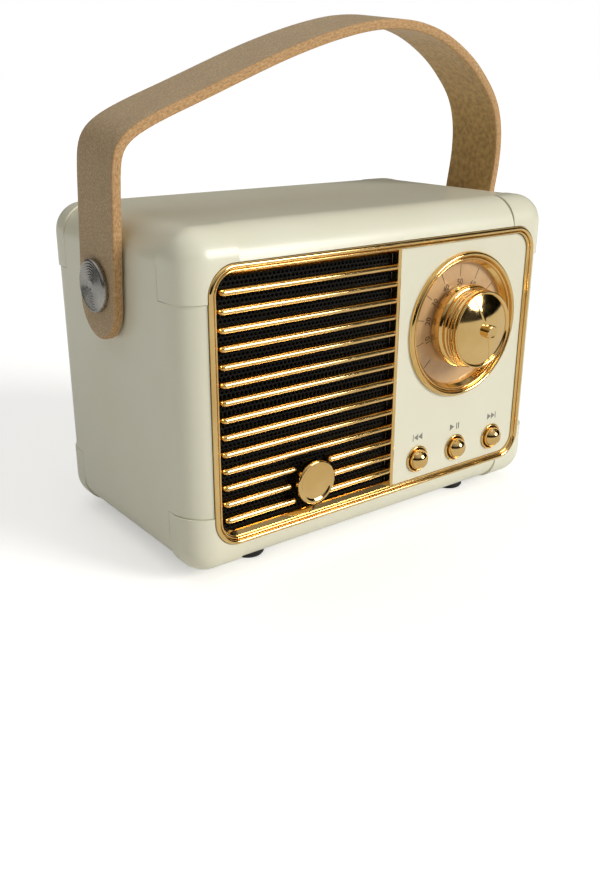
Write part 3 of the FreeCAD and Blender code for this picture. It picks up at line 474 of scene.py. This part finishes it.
# ---- black perforated mesh ----------------------------------------------------------------------
def perforated_sheet(pitch=0.86, hole=0.27):
    """Six-sided cells with a round hole in each, left whole where they meet the sheet's edges."""
    low_x, high_x = mesh_low.x, mesh_high.x
    low_z, high_z = mesh_low.z, mesh_high.z
    row = pitch * math.sqrt(3) / 2
    vertices, faces = [], []
    y = mesh_low.y

    def held(x, z):
        return (min(max(x, low_x), high_x), y, min(max(z, low_z), high_z))

    rows = int((high_z - low_z) / row) + 2
    columns = int((high_x - low_x) / pitch) + 2
    for j in range(rows):
        for i in range(columns):
            cx = low_x + i * pitch + (pitch / 2 if j % 2 else 0)
            cz = low_z + j * row
            outer, inner = [], []
            for k in range(12):
                angle = math.radians(30 * k)
                reach = pitch / 2 if k % 2 == 0 else pitch / math.sqrt(3)
                outer.append((cx + reach * math.cos(angle), cz + reach * math.sin(angle)))
                inner.append((cx + hole * math.cos(angle), cz + hole * math.sin(angle)))
            base = len(vertices)
            vertices += [held(*p) for p in outer]
            inside = (low_x + hole + 0.1 < cx < high_x - hole - 0.1
                      and low_z + hole + 0.1 < cz < high_z - hole - 0.1)
            if inside:
                vertices += [(p[0], y, p[1]) for p in inner]
                faces += [(base + k, base + (k + 1) % 12, base + 12 + (k + 1) % 12, base + 12 + k)
                          for k in range(12)]
            elif max(p[0] for p in outer) > low_x and min(p[0] for p in outer) < high_x:
                if max(p[1] for p in outer) > low_z and min(p[1] for p in outer) < high_z:
                    faces.append(tuple(base + k for k in range(12)))
    return vertices, faces


sheet = piece("perforated_mesh", perforated_sheet(), "black_mesh", nodes=["grille_mesh"])
clean = bmesh.new()
clean.from_mesh(sheet.data)
bmesh.ops.remove_doubles(clean, verts=clean.verts, dist=2e-6)
bmesh.ops.dissolve_degenerate(clean, dist=2e-6, edges=clean.edges)
for face in clean.faces:
    if face.normal.y > 0:
        face.normal_flip()
loose = [v for v in clean.verts if not v.link_faces]
bmesh.ops.delete(clean, geom=loose, context="VERTS")
clean.to_mesh(sheet.data)
clean.free()
thick = sheet.modifiers.new("thickness", "SOLIDIFY")
thick.thickness = 0.0004
thick.offset = -1


def backing():
    """Black cloth close behind the mesh."""
    outline = [(mesh_low.x, mesh_low.z), (mesh_high.x, mesh_low.z),
               (mesh_high.x, mesh_high.z), (mesh_low.x, mesh_high.z)]
    return drawn(outline, mesh_high.y - 0.06, mesh_high.y)


piece("mesh_cloth", backing(), "black_mesh")


# ---- badge --------------------------------------------------------------------------------------
def badge():
    """A plain disc with a rounded rim and a low crown."""
    back, face = badge_high.y, badge_low.y
    r = (badge_high.x - badge_low.x) / 2
    profile = [(0, back), (r - 0.5, back), (r - 0.5, FRONT + 0.3), (r, FRONT + 0.15), (r, face + 0.45)]
    profile += [(r - 0.35 + 0.35 * math.cos(a), face + 0.45 - 0.45 * math.sin(a))
                for a in [math.pi / 2 * k / 8 for k in range(1, 9)]]
    profile += [(r - 0.75, face + 0.06), (r - 0.95, face + 0.28), (r - 1.05, face + 0.3)]
    profile += [(s * (r - 1.05), face + 0.3 + 0.12 * (1 - s * s)) for s in (0.8, 0.6, 0.4, 0.2, 0)]
    return turned(BADGE, profile, steps=160)


piece("round_badge", badge(), "gold_metal", nodes=["grille_badge"], sharp=50)


# ---- dial ring, plate and its printing -----------------------------------------------------------
def dial_ring():
    """A rounded bead, a small ridge inside it and a sloping wall down to the dial plate."""
    crest = ring_low.y
    r = (ring_high.x - ring_low.x) / 2
    profile = [(r - 0.9, ring_high.y), (r - 0.9, PANEL_FACE + 0.02), (r, PANEL_FACE + 0.02),
               (r, PANEL_FACE - 0.15)]
    profile += [(r - 0.5 + 0.5 * math.cos(a), PANEL_FACE - 0.15 - (PANEL_FACE - 0.15 - crest) * math.sin(a))
                for a in [math.pi * k / 14 for k in range(1, 14)]]
    profile += [(r - 1.05, crest + 0.55), (r - 1.12, crest + 0.75)]
    profile += [(r - 1.35 + 0.2 * math.cos(a), crest + 0.66 - 0.24 * math.sin(a))
                for a in [math.pi * k / 8 for k in range(0, 9)]]
    profile += [(r - 1.62, crest + 1.0), (r - 2.25, ring_high.y - 0.9), (r - 2.3, ring_high.y - 0.75)]
    profile += [(r - 2.3, ring_high.y)]
    return turned(DIAL, profile, steps=192, closed=True)


piece("dial_bezel", dial_ring(), "gold_metal", nodes=["dial_ring"], sharp=50)

PLATE_FACE = plate_low.y
TICKS = 11
FIRST, STEP = -132.0, 26.4


def dial_point(radius, degrees, side=0.0):
    """A point on the dial, its angle counted clockwise from the top."""
    a = math.radians(degrees)
    return (DIAL[0] + radius * math.sin(a) + side * math.cos(a),
            DIAL[1] + radius * math.cos(a) - side * math.sin(a))


def dial_ticks():
    shapes = []
    for k in range(TICKS):
        angle = FIRST + STEP * k
        line = [dial_point(9.3, angle, -0.05), dial_point(11.5, angle, -0.06),
                dial_point(11.5, angle, 0.06), dial_point(9.3, angle, 0.05)]
        shapes.append(drawn(line, PLATE_FACE - 0.02, PLATE_FACE + 0.01))
    return together(*shapes)


piece("dial_marks", dial_ticks(), "dial_card", material=ink)


def figures(text, size):
    """The outline mesh of a short text as points and faces, centred, in millimetres."""
    curve = bpy.data.curves.new("figures", "FONT")
    curve.body = text
    curve.size = size
    curve.align_x = "CENTER"
    curve.align_y = "CENTER"
    curve.resolution_u = 3
    holder = bpy.data.objects.new("figures", curve)
    mesh = bpy.data.meshes.new_from_object(holder)
    points = [(v.co.x, v.co.y) for v in mesh.vertices]
    faces = [tuple(p.vertices) for p in mesh.polygons]
    bpy.data.objects.remove(holder)
    bpy.data.meshes.remove(mesh)
    bpy.data.curves.remove(curve)
    return points, faces


def dial_figures():
    shapes = []
    for k in range(1, TICKS):
        angle = FIRST + STEP * k
        points, faces = figures(str(10 * k), 1.75)
        a = math.radians(angle)
        x, z = dial_point(8.15, angle)
        spun = []
        for u, v in points:
            u *= 0.92
            spun.append((x + u * math.cos(a) + v * math.sin(a), PLATE_FACE - 0.02,
                         z - u * math.sin(a) + v * math.cos(a)))
        shapes.append((spun, faces))
    return together(*shapes)


piece("dial_figures", dial_figures(), "dial_card", material=ink)


# ---- knob ---------------------------------------------------------------------------------------
NEEDLE = -22.0                  # where the needle points at rest, clockwise from the top


def ridge(radius0, radius1, width0, width1, y0, y1, degrees):
    """A block with sloping sides that stands on the knob and runs out from its middle."""
    points = []
    for radius, width, lift in ((radius0, width0, y1), (radius1, width1, y0)):
        for side, share in ((-1, 0), (-0.35, 1), (0.35, 1), (1, 0)):
            x, z = dial_point(radius, degrees, side * width / 2)
            points.append((x, (lift if share else y0 + 0.5), z))
    faces = [(0, 1, 2, 3), (4, 5, 6, 7), (0, 1, 5, 4), (1, 2, 6, 5), (2, 3, 7, 6), (3, 0, 4, 7)]
    return points, faces


def knob():
    """The knob's stepped side, its domed face with needle, tail and hub, its cup and its tooth."""
    back, tip = knob_high.y, knob_low.y
    face = tip + 2.5            # the plane of the rim
    dome_top = tip + 1.3
    rim = 7.4
    profile = [(6.2, back), (7.3, back), (7.45, back - 0.1), (7.45, back - 1.15), (7.75, back - 1.3)]
    # The wide flange, then three soft steps up to the rim.
    profile += softened([(7.9, back - 1.4), (8.1, back - 1.6), (8.1, back - 2.6), (7.85, back - 3.1),
                         (7.62, back - 3.2)], 0.5, 4)
    for y, r in ((back - 3.75, 7.72), (back - 4.55, 7.62), (back - 5.2, 7.54)):
        profile += [(r - 0.12, y + 0.42), (r, y + 0.26), (r, y - 0.12), (r - 0.1, y - 0.26)]
    profile += [(rim - 0.02, face + 0.45), (rim + 0.02, face + 0.22)]
    profile += [(rim - 0.2 + 0.22 * math.cos(a), face + 0.2 - 0.2 * math.sin(a))
                for a in [math.pi / 2 * k / 6 for k in range(1, 7)]]
    profile += [(rim - 0.4, face + 0.08), (rim - 0.55, face + 0.3)]
    edge = rim - 0.55
    profile += [(edge * s, face + 0.3 - (face + 0.3 - dome_top) * (1 - s * s))
                for s in [1 - k / 18 for k in range(1, 19)]]
    body = turned(DIAL, profile, steps=192)
    cup = turned(DIAL, [(6.2, back), (6.2, back - 2.6), (3.05, back - 2.6), (3.05, back - 0.05)], steps=96)

    def surface(radius):
        return face + 0.3 - (face + 0.3 - dome_top) * (1 - (radius / edge) ** 2)

    def rib(first, last, width, lift, degrees):
        """A roof-shaped rib that follows the dome."""
        points, loops = [], []
        steps = 14
        for i in range(steps + 1):
            radius = first + (last - first) * i / steps
            half = width * (0.5 - 0.14 * i / steps)
            high = lift * (1 - 0.35 * i / steps)
            for side, up in ((-1, -0.15), (-0.45, high), (0.45, high), (1, -0.15)):
                x, z = dial_point(radius, degrees, side * half)
                points.append((x, surface(radius) - up, z))
        for i in range(steps):
            for k in range(3):
                loops.append((4 * i + k, 4 * i + k + 1, 4 * i + k + 5, 4 * i + k + 4))
            loops.append((4 * i + 3, 4 * i, 4 * i + 4, 4 * i + 7))
        loops += [(0, 1, 2, 3), tuple(4 * steps + k for k in range(4))]
        return points, loops

    needle = rib(0.9, edge - 0.15, 0.9, 0.34, NEEDLE)
    tail = rib(0.9, edge - 0.1, 0.8, 0.26, NEEDLE + 180)
    hub = turned(DIAL, [(1.3, dome_top + 0.25), (1.3, tip + 0.3)]
                 + [(1.1 + 0.2 * math.cos(a), tip + 0.22 - 0.2 * math.sin(a))
                    for a in [math.pi / 2 * k / 5 for k in range(6)]]
                 + [(0.95, tip + 0.1), (0.0, tip + 0.04)], steps=64)
    tooth = ridge(7.5, 8.7, 1.3, 1.0, back - 2.4, back - 2.4, NEEDLE)
    return together(body, cup, needle, tail, hub, tooth)


piece("turning_knob", knob(), "gold_metal", body="volume_knob", nodes=["volume_knob"], sharp=40)


# ---- buttons, their rings and symbols --------------------------------------------------------------
BUTTONS = {"previous": "previous_button", "play": "play_button", "next": "next_button"}
for label, node in BUTTONS.items():
    low, high = span(node)
    at = ((low.x + high.x) / 2, (low.z + high.z) / 2)
    dome = [(2.1 * math.sin(a), low.y + 1.9 - 1.9 * math.cos(a))
            for a in [math.pi / 2 * k / 20 for k in range(21)]]
    profile = dome + [(2.1, high.y - 0.6), (2.7, high.y - 0.6), (2.7, high.y), (0, high.y)]
    piece(node + "_dome", turned(at, profile, steps=96), "gold_metal", body=node, nodes=[node])

ring_shapes = []
rings_low, rings_high = span("button_rings")
for node in BUTTONS.values():
    low, high = span(node)
    at = ((low.x + high.x) / 2, (low.z + high.z) / 2)
    profile = softened([(2.75, PANEL_FACE + 0.02), (2.75, rings_low.y + 0.12), (2.6, rings_low.y),
                        (2.42, rings_low.y + 0.02), (2.26, PANEL_FACE - 0.05), (2.26, PANEL_FACE + 0.9),
                        (2.6, PANEL_FACE + 0.9), (2.6, PANEL_FACE + 0.02)], 0.12, 3, closed=True)
    ring_shapes.append(turned(at, profile, steps=96, closed=True))
piece("button_bezels", together(*ring_shapes), "gold_metal", nodes=["button_rings"], sharp=50)


def triangle(x, z, width, height, direction):
    half = height / 2
    if direction > 0:
        return [(x - width / 2, z - half), (x + width / 2, z), (x - width / 2, z + half)]
    return [(x + width / 2, z - half), (x - width / 2, z), (x + width / 2, z + half)]


def stroke(x, z, width, height):
    return [(x - width / 2, z - height / 2), (x + width / 2, z - height / 2),
            (x + width / 2, z + height / 2), (x - width / 2, z + height / 2)]


def symbols():
    places = []
    for node in BUTTONS.values():
        low, high = span(node)
        places.append((low.x + high.x) / 2)
    z = (low.z + high.z) / 2 + 4.55
    h = 1.35
    marks = [stroke(places[0] - 1.2, z, 0.2, h), triangle(places[0] - 0.45, z, 1.1, h, -1),
             triangle(places[0] + 0.7, z, 1.1, h, -1),
             triangle(places[1] - 1.05, z, 1.2, h, 1), stroke(places[1] + 0.3, z, 0.26, h),
             stroke(places[1] + 0.85, z, 0.26, h),
             triangle(places[2] - 0.7, z, 1.1, h, 1), triangle(places[2] + 0.45, z, 1.1, h, 1),
             stroke(places[2] + 1.2, z, 0.2, h)]
    return together(*[drawn(mark, PANEL_FACE - 0.02, PANEL_FACE + 0.01) for mark in marks])


piece("button_symbols", symbols(), "cream_plastic", material=grey_ink)


# ---- strap --------------------------------------------------------------------------------------
screw_low, screw_high = span("strap_screw_right")
PIVOT = (screw_low.z + screw_high.z) / 2
STRAP_HALF = 6.5
STRAP_THICK = 1.7
STRAP_OUTER = 45.2
STRAP_RISE = 44.1
TAIL = 9.5
LEAN = math.radians(6.0)         # the strap leans this far forward at rest
# Outer face from the left leg over the arch to the right leg: share of the half span, share of the rise.
ARCH = [
    (-1.000, 0.120), (-1.000, 0.210), (-1.000, 0.300), (-1.000, 0.390), (-0.998, 0.460),
    (-0.991, 0.513), (-0.972, 0.557), (-0.934, 0.596), (-0.878, 0.630), (-0.800, 0.666),
    (-0.690, 0.710), (-0.545, 0.768), (-0.412, 0.822), (-0.276, 0.874), (-0.120, 0.926),
    (0.018, 0.964), (0.140, 0.989), (0.262, 1.000), (0.362, 0.998), (0.455, 0.984),
    (0.550, 0.957), (0.650, 0.912), (0.762, 0.843), (0.849, 0.769), (0.921, 0.690),
    (0.968, 0.608), (0.994, 0.525), (1.006, 0.446), (1.009, 0.370), (1.006, 0.290),
    (1.002, 0.210), (1.000, 0.120),
]


def strap_line():
    """Points, inward directions and lengths along the strap's outer face, from tip to tip."""
    knots = np.array([(STRAP_OUTER * a, PIVOT + STRAP_RISE * b) for a, b in ARCH])
    gaps = np.linalg.norm(np.diff(knots, axis=0), axis=1)
    at = np.concatenate([[0], np.cumsum(gaps)])
    count = len(at)
    # A natural cubic spline through the points.
    system = np.eye(count)
    right = np.zeros((count, 2))
    for i in range(1, count - 1):
        a, b = at[i] - at[i - 1], at[i + 1] - at[i]
        system[i, i - 1:i + 2] = a / 6, (a + b) / 3, b / 6
        right[i] = (knots[i + 1] - knots[i]) / b - (knots[i] - knots[i - 1]) / a
    bend = np.linalg.solve(system, right)
    fine = []
    for i in range(count - 1):
        h = at[i + 1] - at[i]
        for t in np.arange(0, 1, 1 / 10):
            p = ((1 - t) * knots[i] + t * knots[i + 1]
                 + h * h / 6 * (((1 - t) ** 3 - (1 - t)) * bend[i] + (t ** 3 - t) * bend[i + 1]))
            fine.append(p)
    fine.append(knots[-1])
    left = [(-STRAP_OUTER, z) for z in np.linspace(PIVOT - TAIL, knots[0][1], 24)[:-1]]
    rightward = [(STRAP_OUTER, z) for z in np.linspace(knots[-1][1], PIVOT - TAIL, 24)[1:]]
    line = np.array(left + [tuple(p) for p in fine] + rightward)
    ahead = np.gradient(line, axis=0)
    ahead /= np.linalg.norm(ahead, axis=1)[:, None]
    inward = np.stack([ahead[:, 1], -ahead[:, 0]], axis=1)
    run = np.concatenate([[0], np.cumsum(np.linalg.norm(np.diff(line, axis=0), axis=1))])
    return line, inward, run


LINE, INWARD, RUN = strap_line()


def on_strap(u, v, w):
    """A flat strap point (along, across, in from the outer face) bent to the strap's shape."""
    x = np.interp(u, RUN, LINE[:, 0])
    z = np.interp(u, RUN, LINE[:, 1])
    nx = np.interp(u, RUN, INWARD[:, 0])
    nz = np.interp(u, RUN, INWARD[:, 1])
    height = z + nz * w - PIVOT
    return (x + nx * w, v * math.cos(LEAN) - height * math.sin(LEAN),
            PIVOT + v * math.sin(LEAN) + height * math.cos(LEAN))


def strap():
    """The strap laid flat as points and faces, with round ends and a screw hole in each."""
    length = RUN[-1]
    half = STRAP_HALF
    across = 12
    hole = 2.08
    square = half                # the polar patch round each hole ends this far above the screw
    tip = half
    flat, faces = [], []

    def add(u, v):
        flat.append((u, v))
        return len(flat) - 1

    def end_patch(flip):
        def at(up, v):
            return (TAIL + up, v) if not flip else (length - TAIL - up, v)
        line = [(square, half * (1 - 2 * k / across)) for k in range(across + 1)]
        side = [(square - (square + TAIL - tip) * k / 8, -half) for k in range(1, 9)]
        arc = [(-(TAIL - tip) - tip * math.sin(math.pi * k / 28), -half * math.cos(math.pi * k / 28))
               for k in range(1, 28)]
        other = [(-(TAIL - tip) + (square + TAIL - tip) * k / 8, half) for k in range(0, 8)]
        outline = line + side + arc + other
        rings = []
        steps = 7
        for s in range(steps + 1):
            share = s / steps
            ring = []
            for up, v in outline:
                angle = math.atan2(v, up)
                inner = (hole * math.cos(angle), hole * math.sin(angle))
                ring.append(add(*at(up + (inner[0] - up) * share, v + (inner[1] - v) * share)))
            rings.append(ring)
        for a, b in zip(rings, rings[1:]):
            for k in range(len(a)):
                m = (k + 1) % len(a)
                faces.append((a[k], a[m], b[m], b[k]))
        return rings[0][:across + 1]

    first = end_patch(False)
    last = end_patch(True)
    rows = [first]
    u0, u1 = TAIL + square, length - TAIL - square
    steps = int((u1 - u0) / 0.9)
    for i in range(1, steps):
        u = u0 + (u1 - u0) * i / steps
        rows.append([add(u, half * (1 - 2 * k / across)) for k in range(across + 1)])
    rows.append(last)
    for a, b in zip(rows, rows[1:]):
        for k in range(across):
            faces.append((a[k], a[k + 1], b[k + 1], b[k]))
    return flat, faces


def strap_piece():
    """The bent strap with its grained outside, suede inside and cut edge as three materials."""
    flat, faces = strap()
    mesh = bpy.data.meshes.new("leather_strap")
    count = len(flat)
    vertices = []
    for depth in (0, STRAP_THICK):
        for u, v in flat:
            vertices.append(put(*on_strap(u, v, depth)))
    loops = list(faces) + [tuple(count + i for i in reversed(f)) for f in faces]
    # The rim: edges that only one face uses.
    seen = {}
    for f in faces:
        for a, b in zip(f, f[1:] + f[:1]):
            seen.setdefault(frozenset((a, b)), []).append((a, b))
    rim = [pairs[0] for pairs in seen.values() if len(pairs) == 1]
    loops += [(b, a, count + a, count + b) for a, b in rim]
    mesh.from_pydata(vertices, [], loops)
    for material in (finishes["strap_leather"], suede, edge_leather):
        mesh.materials.append(material)
    many = len(faces)
    for i, polygon in enumerate(mesh.polygons):
        polygon.material_index = 0 if i < many else (1 if i < 2 * many else 2)
    layer = mesh.uv_layers.new(name="flow")
    for loop in mesh.loops:
        i = loop.vertex_index
        u, v = flat[i % count]
        layer.data[loop.index].uv = (u / 1000, (v + (STRAP_THICK if i >= count else 0)) / 1000)
    work = bmesh.new()
    work.from_mesh(mesh)
    bmesh.ops.remove_doubles(work, verts=work.verts, dist=1e-7)
    bmesh.ops.recalc_face_normals(work, faces=work.faces)
    work.to_mesh(mesh)
    work.free()
    mesh.shade_smooth()
    new = bpy.data.objects.new("leather_strap", mesh)
    bpy.context.scene.collection.objects.link(new)
    bevel = new.modifiers.new("edges", "BEVEL")
    bevel.width = 0.00032
    bevel.segments = 3
    bevel.limit_method = "ANGLE"
    bevel.angle_limit = math.radians(50)
    bevel.material = 2
    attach(new, "strap")
    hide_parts("carry_strap")


strap_piece()


# ---- strap screws and washers ---------------------------------------------------------------------
def screw(sign):
    """A strap screw with fine rings turned into its head."""
    low, high = span("strap_screw_right")
    outer, inner = high.x, high.x - 1.1
    r = (high.z - low.z) / 2
    profile = [(0, low.x), (1.5, low.x), (1.5, 43.0), (2.0, 43.0), (2.0, inner), (r - 0.05, inner),
               (r, inner + 0.1), (r, outer - 0.35), (r - 0.12, outer - 0.12), (r - 0.35, outer)]
    # Fine rings turned into the face.
    rings = 7
    start, end = r - 0.5, 0.9
    for k in range(rings):
        a = start + (end - start) * k / rings
        b = start + (end - start) * (k + 1) / rings
        profile += [(a, outer - 0.02), (a - 0.1 * (a - b), outer - 0.11), (a - 0.35 * (a - b), outer - 0.13),
                    (a - 0.55 * (a - b), outer - 0.05), (b + 0.1 * (a - b), outer - 0.02)]
    profile += [(0.8, outer - 0.02), (0.6, outer - 0.12), (0, outer - 0.16)]
    vertices, faces = turned((0, PIVOT), profile, axis="x", steps=128)
    return [(sign * x, y, z) for x, y, z in vertices], faces


piece("side_screw_right", screw(1), "polished_steel", nodes=["strap_screw_right"], sharp=60)
piece("side_screw_left", screw(-1), "polished_steel", nodes=["strap_screw_left"], sharp=60)


# ---- floor, lights and world ------------------------------------------------------------------------
def floor():
    mesh = bpy.data.meshes.new("floor")
    size = 40.0
    corners = [(-size, -size, 0), (size, -size, 0), (size, size, 0), (-size, size, 0)]
    mesh.from_pydata(corners, [], [(0, 1, 2, 3)])
    card = mottled("floor_card", (0.95, 0.95, 0.945), (0.935, 0.935, 0.93), 200, (0.9, 1.0), grain_depth=0.0)
    shader = card.node_tree.nodes["Principled BSDF"]
    shader.inputs["Specular IOR Level"].default_value = 0.0
    shader.inputs["Emission Color"].default_value = (1, 1, 1, 1)
    # The floor glows a little for the camera, as an overlit sweep of paper does, and lights nothing.
    path = card.node_tree.nodes.new("ShaderNodeLightPath")
    glow = card.node_tree.nodes.new("ShaderNodeMath")
    glow.operation = "MULTIPLY"
    glow.inputs[1].default_value = 0.40
    card.node_tree.links.new(path.outputs["Is Camera Ray"], glow.inputs[0])
    card.node_tree.links.new(glow.outputs["Value"], shader.inputs["Emission Strength"])
    mesh.materials.append(card)
    new = bpy.data.objects.new("floor", mesh)
    bpy.context.scene.collection.objects.link(new)


floor()


def sun(name, towards, strength, spread, colour=(1, 1, 1)):
    """Even light from one direction, softened over spread degrees."""
    light = bpy.data.lights.new(name, "SUN")
    light.energy = strength
    light.angle = math.radians(spread)
    light.color = colour
    new = bpy.data.objects.new(name, light)
    bpy.context.scene.collection.objects.link(new)
    new.rotation_euler = Vector(towards).to_track_quat("Z", "Y").to_euler()


sun("key_light", (0.50, -0.84, 0.42), 1.95, 24, (1.0, 0.99, 0.965))
sun("top_light", (-0.10, 0.15, 1.0), 0.30, 60)


def shades_along(nodes, links, part, stops, tint=(1, 1, 1)):
    """Greys from -1 to 1 along one part of the direction."""
    spread = nodes.new("ShaderNodeMapRange")
    spread.inputs["From Min"].default_value = -1
    spread.inputs["From Max"].default_value = 1
    links.new(part, spread.inputs["Value"])
    tinted = [(at, tuple(value * share for share in tint)) for at, value in stops]
    return ramp_of(nodes, links, spread.outputs["Result"], tinted)


def studio_world():
    """Dark walls with a bright ceiling, darker to the sides; the camera sees plain white instead."""
    world = bpy.data.worlds.new("studio")
    bpy.context.scene.world = world
    world.use_nodes = True
    nodes, links = world.node_tree.nodes, world.node_tree.links
    background = nodes["Background"]
    where = nodes.new("ShaderNodeTexCoord")
    split = nodes.new("ShaderNodeSeparateXYZ")
    links.new(where.outputs["Generated"], split.inputs["Vector"])
    upward = [(0.0, 0.5), (0.49, 0.5), (0.51, 0.03), (0.62, 0.02), (0.68, 0.10), (0.76, 0.55), (1.0, 0.60)]
    sideways = [(0.0, 0.35), (0.25, 0.75), (0.45, 1.0), (0.72, 1.0), (0.82, 0.12), (1.0, 0.06)]
    shaded = nodes.new("ShaderNodeMix")
    shaded.data_type = "RGBA"
    shaded.blend_type = "MULTIPLY"
    shaded.inputs["Factor"].default_value = 1.0
    links.new(shades_along(nodes, links, split.outputs["Z"], upward, (1, 0.985, 0.95)), shaded.inputs["A"])
    links.new(shades_along(nodes, links, split.outputs["X"], sideways), shaded.inputs["B"])
    links.new(shaded.outputs["Result"], background.inputs["Color"])
    background.inputs["Strength"].default_value = 1.0
    plain = nodes.new("ShaderNodeBackground")
    plain.inputs["Color"].default_value = (1.0, 1.0, 1.0, 1)
    path = nodes.new("ShaderNodeLightPath")
    mix = nodes.new("ShaderNodeMixShader")
    links.new(path.outputs["Is Camera Ray"], mix.inputs["Fac"])
    links.new(background.outputs["Background"], mix.inputs[1])
    links.new(plain.outputs["Background"], mix.inputs[2])
    links.new(mix.outputs["Shader"], nodes["World Output"].inputs["Surface"])


studio_world()
